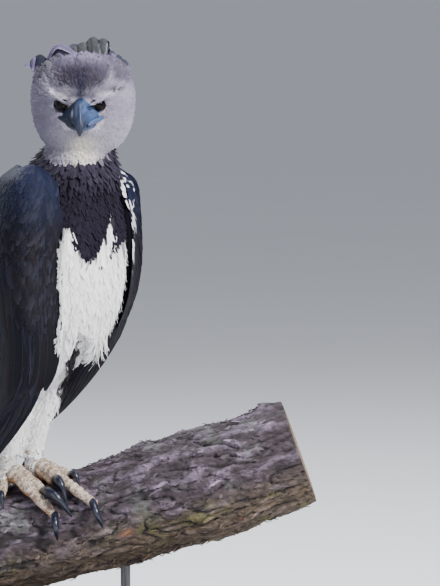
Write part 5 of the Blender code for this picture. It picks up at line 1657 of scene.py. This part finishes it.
def claw_loops(root, tip, claw_tip, radius):
    """Rings of a hooked claw from the toe's end to its point."""
    start, end = on_branch(*tip, 0.009), on_branch(*claw_tip, 0.0035)
    away = (away_from_branch(start) + away_from_branch(end)).normalized()
    behind = on_branch(*between(root, tip, 0.94), 0.009)
    arch = (end - start).length * CLAW_ARCH
    share = np.linspace(0, 1, 34)
    path = np.array(behind)[None] * (1 - share)[:, None] + np.array(end)[None] * share[:, None]
    path = path + np.array(away)[None] * (arch * np.sin(math.pi * share**0.85))[:, None]
    heading = unit(np.gradient(path, axis=0))
    across = unit(np.cross(heading, np.array(away)))
    along = np.cross(across, heading)
    radii = 1.18 * radius * (1 - share) ** 0.52 + 0.0004
    angle = np.linspace(0, 2 * math.pi, 28, endpoint=False)
    keel = 1 - 0.18 * np.clip(-np.sin(angle), 0, 1)
    wide = (radii[:, None] * 0.84 * np.cos(angle)[None])[..., None] * across[:, None]
    tall = (radii[:, None] * (np.sin(angle) * keel)[None])[..., None] * along[:, None]
    return path[:, None] + wide + tall


FOOT_VOXEL = 0.00085


def triangle_mesh(parts):
    """One mesh of several closed tubes, for remeshing."""
    bm = bmesh.new()
    for loops in parts:
        add_tube(bm, loops)
    mesh = bpy.data.meshes.new("toes")
    bm.to_mesh(mesh)
    bm.free()
    return mesh


def pad_loops(centre, seed):
    """Rings of the foot's own pad."""
    rows, ring = 30, 40
    fall = np.linspace(0.05, math.pi - 0.05, rows)
    around = np.linspace(0, 2 * math.pi, ring, endpoint=False)
    reach = FOOT_RADIUS * 0.98
    loops = np.stack(
        [
            np.outer(np.sin(fall), np.cos(around)) * reach,
            np.outer(np.sin(fall), np.sin(around)) * reach,
            np.repeat(np.cos(fall)[:, None], ring, axis=1) * reach * FOOT_FLATNESS,
        ],
        axis=-1,
    )
    return loops + np.array(centre)


def make_foot(label, foot):
    """One foot: shank, pad and four toes grown together, covered in plates and beads, and its claws."""
    base = on_branch(*foot["middle"], 0.018)
    top = base + TO_WORLD.to_3x3() @ Vector((0, 0.004, SHANK_LENGTH * 0.62))
    share = np.linspace(0, 1, 40)
    path = np.array(base)[None] * (1 - share)[:, None] + np.array(top)[None] * share[:, None]
    shank_radii = SHANK_RADIUS * (0.97 + 0.05 * np.cos(share * 6.3)) + 0.0006 * ((share * 9) % 1.0)
    shank = rings_along(path, shank_radii, np.array((0, 1.0, 0)), 32)
    toes = [toe_loops(root, tip, wide, i * 7.0) for i, (root, tip, _, wide, _) in enumerate(foot["toes"].values())]
    pad = pad_loops(on_branch(*foot["middle"], 0.013), 1.0)
    points, normals, faces = remeshed(triangle_mesh([pad, *toes]), FOOT_VOXEL, 1)
    beads = np.array([noise.voronoi(Vector(p) * 420.0)[0][0] for p in points])
    points = points + normals * (0.0010 * (0.5 - beads))[:, None]
    tone = foot_tone(points, normals) * (1.12 - 0.60 * soft_step(beads, 0.35, 0.75))[:, None]
    piece = mesh_piece("toes_" + label, points, [faces], FINISH["leg"], tone)
    box_map(piece, points, faces)
    shown_as(piece, "leg_skin", "foot_" + label)
    low, high = points.min(axis=0), points.max(axis=0)
    grow_foot_coat(label + "_toes", points, faces, ((points - low) / (high - low).max())[faces].mean(axis=1)[:, [0, 2]], base)
    piece = tube("shank_skin_" + label, shank, FINISH["leg"], foot_tone(shank.reshape(-1, 3), None))
    shown_as(piece, "leg_skin", "shank_" + label)
    sides, _ = ring_faces(len(shank), 32)
    place = np.stack([(sides[:, 0] % 32) / 32, (sides[:, 0] // 32) / 40], axis=-1)
    grow_foot_coat(label + "_shank", shank.reshape(-1, 3), sides, place, base)
    for toe, (root, tip, claw_tip, _, radius) in foot["toes"].items():
        loops = claw_loops(root, tip, claw_tip, radius)
        flat = loops.reshape(-1, 3)
        shade = 1 + 0.4 * noise_at(flat, 220.0, 2.0)
        # Painted sheen: the black claws are tinted blue.
        tone = np.tile(np.array((0.0075, 0.0100, 0.0220)), (len(flat), 1)) * shade[:, None]
        shown_as(tube(f"talon_{toe}_{label}", loops, FINISH["claw"], tone), "claw_horn", f"claw_{toe}_{label}")


def grow_foot_coat(label, points, faces, centres, base):
    """Short white feathers that run from the leg onto the roots of the toes."""
    near = lambda p: 1 - soft_step(np.linalg.norm((p - np.array(base)) * (1, 1, 0.7), axis=1), 0.019, 0.027)
    above = lambda p: p[:, 2] > base.z - 0.012
    grow_coat(
        "foot_coat_" + label, FINISH["thigh"], "white_feather", Ground(points, faces, centres),
        lambda p: near(p) * above(p), 0.0028, 0.0125, 0.0017, 5, 3, 0.0018, 0.0006, 0.35, 0.10, 0.0008,
        vane_widths(5, 0.6, 0.25, 0.14, 0.5), 0.05, 0.98, 0.0004,
    )


def foot_tone(points, normals):
    """Cream toes with pinkish-brown bumps, more ochre near the claws, and a darker ochre below that is painted shade.
    """
    count = len(points)
    tone = np.tile(np.array((0.54, 0.455, 0.370)), (count, 1))
    spots = noise_at(points, 150.0, 3.0) + 0.5 * noise_at(points, 330.0, 4.0)
    tone = toned(tone, (0.25, 0.110, 0.095), soft_step(spots, 0.10, 0.50) * 0.65)
    tone = toned(tone, (0.33, 0.170, 0.050), soft_step(noise_at(points, 60.0, 17.0), 0.10, 0.50) * 0.45)
    # Painted shade: the undersides, facing the branch, turn a darker ochre.
    if normals is not None:
        middle = np.array([tuple(away_from_branch(Vector(p))) for p in points])
        under = 1 - soft_step((normals * middle).sum(axis=1), -0.4, 0.4)
        tone = blend(tone, np.tile(np.array((0.34, 0.12, 0.025)), (count, 1)), under * 0.85)
    return tone * (1 + 0.15 * noise_at(points, 420.0, 5.0))[:, None]


def box_map(piece, points, faces):
    """A simple unwrap: each face by its place round the world's axes."""
    loops = faces.ravel()
    low, high = points.min(axis=0), points.max(axis=0)
    share = (points - low) / (high - low).max()
    layer = piece.data.uv_layers.new(name="OFBake")
    layer.data.foreach_set("uv", share[loops][:, [0, 2]].astype(np.float32).ravel())


# Branch
BARK_ROWS = 330
BARK_RING = 210
STUB = (0.402, 0.15, 0.020, 0.012)
FLAKE = (0.385, 3.0, 0.016, 0.007)
BARK_FLAKES = 2000


def bark(x, angle):
    """How far the bark stands out from the branch's plain round, as in the solid."""
    place = Vector((x * 9, math.cos(angle) * 1.6, math.sin(angle) * 1.6))
    ridges = Vector((x * 28, math.cos(angle) * 3.5, math.sin(angle) * 3.5))
    return BARK_RELIEF * (1.3 * noise.noise(place) + 0.7 * noise.noise(ridges))


def crack(value, width):
    """1 in the middle of a crack, where noise passes through 0."""
    t = min(1.0, abs(value) / width)
    return 1 - t * t * (3 - 2 * t)


def bark_detail(x, angle):
    """Height of the bark's layers, cracks and grain, with the crack and layer values for its colour."""
    c, s = math.cos(angle), math.sin(angle)
    broad = Vector((x * 11, c * 2.4, s * 2.4))
    warp = noise.noise_vector(broad * 1.4) * 0.45
    long = Vector((x * 12, c * 4.4, s * 4.4)) + warp
    main = crack(noise.noise(long), 0.11)
    fine = crack(noise.noise(long * 2.6 + Vector((7, 3, 1))), 0.14)
    level = noise.noise(Vector((x * 24, c * 5.2, s * 5.2)) + warp) * 3.4
    base = math.floor(level)
    t = min(1.0, max(0.0, (level - base - 0.30) / 0.30))
    layer = base + t * t * (3 - 2 * t)
    grain = noise.noise(Vector((x * 60, c * 9, s * 9)))
    finer = noise.noise(Vector((x * 190, c * 24, s * 24)))
    height = -0.0048 * main - 0.0022 * fine + 0.0014 * layer + 0.0013 * grain + 0.0008 * finer
    return height, max(main, 0.5 * fine), layer, grain


def make_branch():
    """The cut length of branch, with layers of bark parted by long cracks, a stub, and flat sawn ends."""
    start, end = BRANCH[0][0] * CM, BRANCH[-1][0] * CM
    loops, values = [], []
    for i in range(BARK_ROWS):
        x = start + (end - start) * i / (BARK_ROWS - 1)
        centre, radius = branch_at(x)
        ahead, _ = branch_at(min(end, x + 0.01))
        behind, _ = branch_at(max(start, x - 0.01))
        heading = (ahead - behind).normalized()
        upright = Vector((0, -1, 0)).cross(heading)
        ring = []
        for k in range(BARK_RING):
            angle = 2 * math.pi * k / BARK_RING
            height, gap, layer, grain = bark_detail(x, angle)
            reach = radius + bark(x, angle) + height
            for at, turn, spread, rise in (STUB, FLAKE):
                off = ((x - at) / spread) ** 2 + (math.remainder(angle - turn, 2 * math.pi) * radius / spread) ** 2
                reach += rise * math.exp(-off)
            ring.append(tuple(centre + upright * (reach * math.cos(angle)) + Vector((0, reach * math.sin(angle), 0))))
            values.append((gap, layer, grain))
        loops.append(ring)
    loops = np.array(loops)
    tone = bark_tone(loops, np.array(values))
    shown_as(tube("branch_bark", loops, FINISH["bark"], tone), "bark", "perch")
    make_flakes(loops, tone)
    for label, ring, inside in (("left", loops[0], loops[1]), ("right", loops[-1], loops[-2])):
        make_cut(label, ring, inside)


def bark_tone(loops, values):
    """Purple-brown bark, tan below, with cracks darkened as painted shade, grey-green lichen, moss and a few rusty
    spots.
    """
    gap, layer, grain = values.T
    flat = loops.reshape(-1, 3)
    low = 1 - soft_step(flat[:, 2] - np.repeat(loops[..., 2].mean(axis=1), loops.shape[1]), -0.060, 0.010)
    tone = np.tile(np.array((0.028, 0.019, 0.025)), (len(flat), 1))
    tone = toned(tone, (0.086, 0.064, 0.092), soft_step(layer + 0.9 * grain, -0.4, 1.7))
    tone = toned(tone, (0.066, 0.046, 0.026), low * 0.8)
    lichen = soft_step(noise_at(flat, 24.0, 7.0) + 0.4 * noise_at(flat, 80.0, 8.0), 0.30, 0.60) * (1 - low)
    tone = toned(tone, (0.085, 0.094, 0.088), lichen * 0.45)
    moss = soft_step(noise_at(flat, 17.0, 21.0) + 0.3 * noise_at(flat, 70.0, 22.0), 0.16, 0.46) * low
    tone = toned(tone, (0.080, 0.078, 0.018), moss * 0.70)
    tone = toned(tone, (0.16, 0.052, 0.015), soft_step(noise_at(flat, 42.0, 31.0), 0.52, 0.68) * low * 0.8)
    # Painted shade: near-black in the cracks.
    tone = toned(tone, (0.009, 0.006, 0.008), soft_step(gap, 0.15, 0.75) * 0.9)
    speck = noise_at(flat * np.array((0.5, 1, 1)), 260.0, 41.0) + 0.8 * noise_at(flat, 520.0, 42.0)
    return tone * (1 + 0.30 * grain)[:, None] * (1 + 0.55 * speck)[:, None].clip(0.35, 1.9)


def make_flakes(loops, tone):
    """Loose flakes of bark that lift off the branch at one end."""
    rows, ring, _ = loops.shape
    count, steps = BARK_FLAKES, 6
    t = np.linspace(0, 1, steps)[None]
    forward = RANDOM.choice((-1.0, 1.0), count)
    start_row = RANDOM.uniform(12, rows - 13, count)
    length = RANDOM.uniform(4, 11, count) * forward
    start_turn = RANDOM.uniform(0, ring, count)
    drift = RANDOM.uniform(-3, 3, count)
    i = np.clip(start_row[:, None] + length[:, None] * t, 1, rows - 2).astype(int)
    k = (start_turn[:, None] + drift[:, None] * t).astype(int) % ring
    smooth = 0.25 * loops[:-2] + 0.5 * loops[1:-1] + 0.25 * loops[2:]
    spots = smooth[np.clip(i - 1, 0, rows - 3), k]
    outs = unit(spots - loops.mean(axis=1)[i])
    lift = RANDOM.uniform(0.0008, 0.0042, count)[:, None] * t**1.6 - 0.0008 * (1 - t)
    paths = spots + outs * lift[..., None]
    width = RANDOM.uniform(0.0014, 0.0048, count)[:, None] * (0.75 + 0.25 * RANDOM.random((count, steps)))
    width = width * np.clip(np.sin(math.pi * (0.16 + 0.78 * t)), 0.2, 1)
    tones = tone[i[:, 0] * ring + k[:, 0]] * RANDOM.uniform(0.6, 1.7, (count, 1)) + 0.004
    place = np.column_stack([0.02 + 0.96 * k[:, 0] / ring, 0.02 + 0.96 * i[:, 0] / rows])
    piece = blades("bark_flakes", FINISH["bark"], paths, outs, width, tones, 4, 0.0013, 0.10, place)
    shown_as(piece, "bark")


def make_cut(label, ring, inside):
    """A sawn end: a thin disc of wood inside the bark, with its year rings."""
    middle = ring.mean(axis=0)
    heading = unit(middle - inside.mean(axis=0))
    loops = []
    for share, out in ((0.30, 0.0001), (0.93, 0.0001), (0.94, 0.0003), (0.93, 0.0006), (0.62, 0.0007), (0.30, 0.0007)):
        loops.append(middle + (ring - middle) * share + heading * out)
    loops = np.array(loops)
    flat = loops.reshape(-1, 3)
    reach = np.linalg.norm(flat - middle, axis=1)
    tone = toned(np.tile(np.array((0.20, 0.13, 0.070)), (len(flat), 1)), (0.060, 0.040, 0.026), soft_step(reach, 0.02, 0.085))
    shown_as(tube("branch_cut_" + label, loops, cut_finish(middle), tone), "bark")


# Finishes of the hard pieces
def horn_finish(name, roughness, coat):
    """Polished horn with fine growth lines."""
    n = Nodes(name, roughness, Coat_Weight=coat, Coat_Roughness=0.12, Specular_IOR_Level=0.35)
    grain = n.noise(240.0, 5.0, n.stretched(1.0, 1.0, 0.25))
    level = n.step(grain, 0.25, 0.75, 0.72, 1.18)
    grey = n.add("CombineXYZ", X=level, Y=level, Z=level)
    n.bump(grain, 0.0003, 0.6)
    return n.colour(n.mix(1.0, n.tone(), grey.outputs[0], "MULTIPLY"))


def leather_finish(name, roughness, scale, depth):
    """Beaded bare skin."""
    n = Nodes(name, roughness, Specular_IOR_Level=0.30)
    beads = n.cells(scale)
    folds = n.noise(scale * 0.4, 4.0)
    level = n.math("ADD", n.step(beads, 0.1, 0.7, 1.12, 0.62), n.step(folds, 0.3, 0.7, -0.12, 0.1))
    grey = n.add("CombineXYZ", X=level, Y=level, Z=level)
    n.bump(n.math("SUBTRACT", n.math("MULTIPLY", folds, 0.5), beads), depth)
    return n.colour(n.mix(1.0, n.tone(), grey.outputs[0], "MULTIPLY"))


def eye_finish():
    """A wet, dark eye."""
    n = Nodes("eye_wet", 0.06, Coat_Weight=0.04, Coat_Roughness=0.02, Specular_IOR_Level=0.08)
    veins = n.noise(900.0, 3.0)
    level = n.step(veins, 0.3, 0.7, 0.8, 1.15)
    grey = n.add("CombineXYZ", X=level, Y=level, Z=level)
    return n.colour(n.mix(1.0, n.tone(), grey.outputs[0], "MULTIPLY"))


def bark_finish():
    """Rough flaky bark."""
    n = Nodes("bark_rough", 0.92)
    grain = n.noise(150.0, 8.0, n.stretched(0.4, 1.0, 1.0), 0.65)
    flakes = n.cells(120.0, "F1", n.stretched(0.5, 1.0, 1.0))
    level = n.math("ADD", n.step(grain, 0.25, 0.75, 0.55, 1.35), n.step(flakes, 0.0, 0.8, -0.10, 0.10))
    grey = n.add("CombineXYZ", X=level, Y=level, Z=level)
    n.bump(n.math("ADD", grain, n.math("MULTIPLY", flakes, 0.4)), 0.0016, 0.9)
    return n.colour(n.mix(1.0, n.tone(), grey.outputs[0], "MULTIPLY"))


def cut_finish(middle):
    """Sawn wood with year rings about a middle point."""
    n = Nodes("sawn_wood", 0.85)
    shift = n.add("VectorMath")
    shift.operation = "SUBTRACT"
    n.put(shift, "0", n.place())
    n.put(shift, "1", tuple(middle))
    reach = n.add("VectorMath")
    reach.operation = "LENGTH"
    n.put(reach, "0", shift.outputs["Vector"])
    cloud = n.noise(40.0, 4.0)
    turns = n.math("ADD", n.math("MULTIPLY", reach.outputs["Value"], 820.0), n.math("MULTIPLY", cloud, 7.0))
    rings = n.math("SINE", turns)
    level = n.step(n.math("ADD", rings, n.math("MULTIPLY", n.noise(300.0, 3.0), 1.4)), -0.4, 1.6, 0.45, 1.25)
    grey = n.add("CombineXYZ", X=level, Y=level, Z=level)
    n.bump(rings, 0.0003, 0.4)
    return n.colour(n.mix(1.0, n.tone(), grey.outputs[0], "MULTIPLY"))


def wood_finish():
    """The stand's dark stained wood."""
    n = Nodes("base_stained", 0.55, Coat_Weight=0.08, Coat_Roughness=0.35, Specular_IOR_Level=0.3)
    rings = n.noise(26.0, 6.0, n.stretched(0.12, 1.0, 1.0), 0.6, 1.2)
    pores = n.noise(300.0, 3.0, n.stretched(0.05, 1.0, 1.0))
    colour = n.mix(n.step(rings, 0.35, 0.65), (0.030, 0.019, 0.013), (0.085, 0.052, 0.032))
    colour = n.mix(n.step(pores, 0.58, 0.75, 0.0, 0.6), colour, (0.012, 0.008, 0.006))
    n.bump(n.math("SUBTRACT", rings, n.math("MULTIPLY", pores, 0.5)), 0.0003, 0.5)
    return n.colour(colour)


def steel_finish():
    """The stand's dark rods."""
    n = Nodes("rod_dark", 0.32, Metallic=0.9)
    brushed = n.noise(500.0, 3.0, n.stretched(1.0, 1.0, 0.03))
    colour = n.mix(n.step(brushed, 0.3, 0.7), (0.045, 0.045, 0.05), (0.085, 0.085, 0.09))
    n.bump(brushed, 0.0001, 0.4)
    return n.colour(colour)


def floor_finish():
    """The pale studio floor."""
    n = Nodes("studio_floor", 0.85)
    cloud = n.noise(3.0, 3.0)
    return n.colour(n.mix(cloud, (0.70, 0.71, 0.72), (0.74, 0.75, 0.76)))


FINISH = {
    "head": feather_finish("head_feathers", (0.30, 0.28, 0.36), 0.05, 0.06, 0.85, None, 0.0, 0.82, 0.96, 0.08),
    "dark": feather_finish("dark_feathers", (0.050, 0.044, 0.070), 0.34, 0.12, 0.75, None, 0.0, 0.65, 0.85, 0.08),
    "white": feather_finish("white_feathers", (0.90, 0.89, 0.90), 0.2, 0.04, 0.85, None, 0.12, 0.92, 0.98),
    "thigh": feather_finish("thigh_feathers", (0.90, 0.89, 0.88), 0.2, 0.04, 0.85, None, 0.12, 0.92, 0.98),
    "wing_core": feather_finish("wing_down", (0.01, 0.01, 0.015), 0.0, 0.10, 0.85, gloss=0.05),
    "quill": feather_finish("wing_quills", (0.026, 0.023, 0.030), 0.30, 0.14, 0.60, ((0.011, 0.010, 0.014), 40.0, 0.35), gloss=0.12),
    "covert": feather_finish("wing_coverts", (0.028, 0.028, 0.042), 0.26, 0.12, 0.62, gloss=0.10),
    "tail": feather_finish("tail_barred", (0.040, 0.038, 0.046), 0.4, 0.14, 0.60, ((0.075, 0.072, 0.085), 26.0, 0.85), gloss=0.1),
    "crest": feather_finish("crest_feathers", (0.38, 0.34, 0.50), 0.40, 0.14, 0.85, None, 0.05, 0.60, 0.85),
    "cere": leather_finish("cere_waxy", 0.50, 900.0, 0.0003),
    "horn": horn_finish("bill_polished", 0.46, 0.05),
    "claw": horn_finish("claw_polished", 0.28, 0.25),
    "eye": eye_finish(),
    "lid": leather_finish("lid_skin", 0.55, 1400.0, 0.0003),
    "leg": leather_finish("leg_scaled", 0.50, 620.0, 0.0005),
    "bark": bark_finish(),
}


# Coat
def covered_by_wings(surfaces):
    """A function that tells, for points and ways out, where a wing lies over the body."""
    trees = []
    for surface in surfaces:
        rows, across = surface.grid.shape[:2]
        rows = int(rows * 0.72)
        points = [Vector(p) for p in surface.grid[:rows].reshape(-1, 3)]
        faces = [
            (i * across + k, i * across + k + 1, (i + 1) * across + k + 1, (i + 1) * across + k)
            for i in range(rows - 1) for k in range(across - 1)
        ]
        trees.append(BVHTree.FromPolygons(points, faces))

    def covered(points, outs):
        tilt = (Vector((0, 0, 0.5)), Vector((0, 0, -0.5)), Vector((0.5, 0, 0)), Vector((-0.5, 0, 0)), Vector((0, 0, 0)))
        found = []
        for point, out in zip(points, outs):
            start, out = Vector(point), Vector(out)
            found.append(all(any(tree.ray_cast(start, (out + t).normalized(), 0.07)[0] for tree in trees) for t in tilt))
        return np.array(found)

    return covered


def make_coat(ground, covered):
    """The body's own feathers, zone by zone."""
    spots, outs, _ = ground.nearest(ground.points[ground.faces].mean(axis=1))
    hidden = covered(spots, outs)
    index = BVHTree.FromPolygons([Vector(p) for p in ground.points], ground.faces.tolist())
    seen = lambda p: np.array([0.0 if hidden[index.find_nearest(Vector(q))[2]] else 1.0 for q in p])
    head = lambda p: head_share(p) > 0.5
    bare = lambda p: soft_step(bill_distance(p), 0.002, 0.005)
    eyes = lambda p: soft_step(eye_distance(p), 0.0104, 0.0122)
    by_eye = lambda p: 1 - soft_step(eye_distance(p), 0.0120, 0.0200)
    face = lambda p: 1 - soft_step(bill_distance(p), 0.012, 0.055)
    soft = vane_widths(7, 0.60, 0.25, 0.12, 0.50)
    tiny = vane_widths(4, 0.6, 0.3, 0.30, 0.5)
    dome = lambda p: dome_share(p)
    crown = lambda p: soft_step(face_place(p)[1], 0.015, 0.040) * (1 - dome_share(p))
    grow_coat(
        "head_coat", FINISH["head"], "head_feather", ground,
        lambda p: head(p) * bare(p) * eyes(p),
        lambda p: 0.0032 - 0.0011 * face(p),
        lambda p: (0.0130 - 0.0072 * face(p) - 0.0030 * dome(p) * (1 - face(p))) * (1 - 0.45 * by_eye(p)),
        lambda p: 0.0031 - 0.0017 * face(p),
        4, 3, lambda p: 0.0022 - 0.0010 * face(p) + 0.0026 * dome(p) + 0.0022 * crown(p), 0.0006, 0.24, 0.12, 0.0010,
        tiny, 0.13, 0.96, 0.0005,
    )
    # The dark coat also grows in the fold between the leg and the flank, where its dark feathers are painted shade.
    grow_coat(
        "collar_coat", FINISH["dark"], "collar_feather", ground,
        lambda p: (dark_share(p) > 0.5) * (head_share(p) < 0.01) * seen(p),
        lambda p: 0.0052 - 0.0012 * near_white(p), lambda p: 0.020 + 0.006 * RANDOM.random(len(p)) - 0.010 * near_white(p),
        lambda p: 0.0046 - 0.0012 * near_white(p), 6, 5,
        lambda p: 0.0034 + 0.0036 * soft_step(in_bird(p)[:, 2], 0.465, 0.500), 0.0012, 0.20, 0.16, 0.0012,
        vane_widths(6, 0.5, 0.3, 0.14, 0.45), 0.30, 0.85,
    )
    grow_coat(
        "white_coat", FINISH["white"], "white_feather", ground,
        lambda p: (dark_share(p) <= 0.5) * ~head(p) * seen(p) * (thigh_share(p) < 0.5),
        0.0054, lambda p: 0.042 - 0.029 * above_fold(p), lambda p: 0.0074 - 0.0036 * above_fold(p), 7, 5, 0.0024, 0.0010,
        0.12, 0.10, 0.0010, soft, 0.03, 0.99, 0.0004,
    )
    white = lambda p: (dark_share(p) <= 0.5) * ~head(p) * (above_fold(p) < 0.5)
    grow_coat(
        "edge_wisps", FINISH["white"], "white_feather", ground, lambda p: white(p) * beside_wing(p),
        0.0060, 0.030, 0.0012, 7, 3, 0.0150, 0.0010, 0.55, 0.10, 0.0040, soft, 0.03, 0.99, 0.0004,
    )
    grow_coat(
        "white_wisps", FINISH["white"], "white_feather", ground, lambda p: white(p) * seen(p) * (1 - beside_wing(p)),
        0.0105, 0.028, 0.0010, 7, 3, 0.0050, 0.0010, 0.50, 0.10, 0.0025, soft, 0.03, 0.99, 0.0004,
    )
    grow_coat(
        "thigh_coat", FINISH["thigh"], "white_feather", ground,
        lambda p: (dark_share(p) <= 0.5) * (thigh_share(p) >= 0.5) * seen(p),
        0.0048, 0.028, 0.0054, 7, 5, 0.0022, 0.0010, 0.12, 0.10, 0.0008, soft, 0.03, 0.99, 0.0004,
    )


def beside_wing(points):
    """1 where the white coat meets the near wing's front edge or ends in the flank's tuft."""
    bird = in_bird(points)
    angle, height = body_angle(bird), bird[:, 2]
    edge = (angle > -75) & (angle < -30) & (height > 0.17) & (height < 0.41)
    tuft = (angle > 6) & (angle < 40) & (height > 0.200) & (height < 0.245)
    return (edge | tuft).astype(float)


def bill_distance(points):
    """Distance from the bill's own skin, in metres."""
    h = in_head(points)
    reach = np.abs(h[:, 0])
    forward = -h[:, 1]
    ridge = np.interp(forward, (0.044, 0.06, 0.09), (0.016, 0.017, 0.010))
    half = np.interp(h[:, 2], (-0.032, -0.018, 0.0, 0.018), (0.022, 0.032, 0.021, 0.009))
    aside = np.maximum(reach - half, 0)
    upright = np.maximum(np.maximum(h[:, 2] - ridge, -0.030 - h[:, 2]), 0)
    behind = np.maximum(0.050 - forward, 0)
    return np.sqrt(aside**2 + upright**2 + behind**2)


def eye_distance(points):
    """Distance from the nearer eye's middle, in metres."""
    spots = [np.array(eye_matrix(side).translation) for side in (1, -1)]
    return np.min([np.linalg.norm(points - s, axis=1) for s in spots], axis=0)


# Studio
FLOOR_REACH = 3000.0


def make_studio():
    """Floor, lights, sky and the photograph's camera."""
    angle = np.linspace(0, 2 * math.pi, 48, endpoint=False)
    points = np.concatenate([np.column_stack([FLOOR_REACH * np.cos(angle), FLOOR_REACH * np.sin(angle), np.zeros(48)]), [(0, 0, 0)]])
    faces = np.array([(k, (k + 1) % 48, 48) for k in range(48)])
    floor = mesh_piece("floor", points, [faces], floor_finish())
    sky = bpy.context.scene.world or bpy.data.worlds.new("sky")
    bpy.context.scene.world = sky
    sky.use_nodes = True
    sky.node_tree.nodes["Background"].inputs["Color"].default_value = (0.84, 0.89, 1.0, 1)
    sky.node_tree.nodes["Background"].inputs["Strength"].default_value = 0.50
    aim = Vector((0.0, 0.0, 0.6))
    for name, place, size, power, colour in (
        ("key", (2.4, -2.4, 2.8), 1.2, 400, (1.0, 0.98, 0.95)),
        ("fill", (-2.8, -2.6, 1.2), 2.4, 50, (0.90, 0.93, 1.0)),
        ("rim", (-1.6, 2.4, 2.6), 1.2, 80, (0.92, 0.94, 1.0)),
        ("top", (0.4, -0.2, 3.4), 1.6, 110, (0.90, 0.93, 1.0)),
    ):
        lamp = bpy.data.objects.new(name, bpy.data.lights.new(name, "AREA"))
        lamp.data.size = size
        lamp.data.energy = power
        lamp.data.color = colour
        lamp.location = place
        lamp.rotation_euler = (aim - Vector(place)).to_track_quat("-Z", "Y").to_euler()
        bpy.context.scene.collection.objects.link(lamp)
    camera = bpy.data.objects.new("camera", bpy.data.cameras.new("camera"))
    across = IMAGE[0] * PIXEL
    rise = IMAGE[1] * PIXEL
    target = Vector(((IMAGE[0] / 2 - ORIGIN_PIXEL[0]) * PIXEL, 0, 0.6274))
    heading = Vector((0, math.cos(CAMERA_TILT), -math.sin(CAMERA_TILT)))
    camera.location = target - heading * CAMERA_DISTANCE
    camera.rotation_euler = heading.to_track_quat("-Z", "Y").to_euler()
    camera.data.sensor_width = SENSOR
    camera.data.lens = SENSOR * CAMERA_DISTANCE / max(across, rise)
    camera.data.clip_end = 2 * FLOOR_REACH
    bpy.context.scene.collection.objects.link(camera)
    bpy.context.scene.camera = camera


def paint(node, finish):
    """Gives a kept solid a better finish."""
    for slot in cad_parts[node].material_slots:
        slot.material = finish


skin, skin_points, skin_faces, skin_centres = make_skin()
surfaces = [WingSurface(name) for name in WINGS]
skin_ground = Ground(skin_points, skin_faces, skin_centres)
make_coat(skin_ground, covered_by_wings(surfaces))
for wing_surface in surfaces:
    if wing_surface.wing["side"] < 0:
        shown_as(edge_tufts(skin_ground, wing_surface), "white_feather")
for wing_name in WINGS:
    make_wing(wing_name)
make_tail()
make_crest()
make_bill()
for eye_side in (1, -1):
    make_eye(eye_side)
for foot_label, foot_places in FEET_PLACES.items():
    make_foot(foot_label, foot_places)
make_branch()
paint("stand_base", wood_finish())
for rod in ("stand_rod_left", "stand_rod_right"):
    paint(rod, steel_finish())
make_studio()
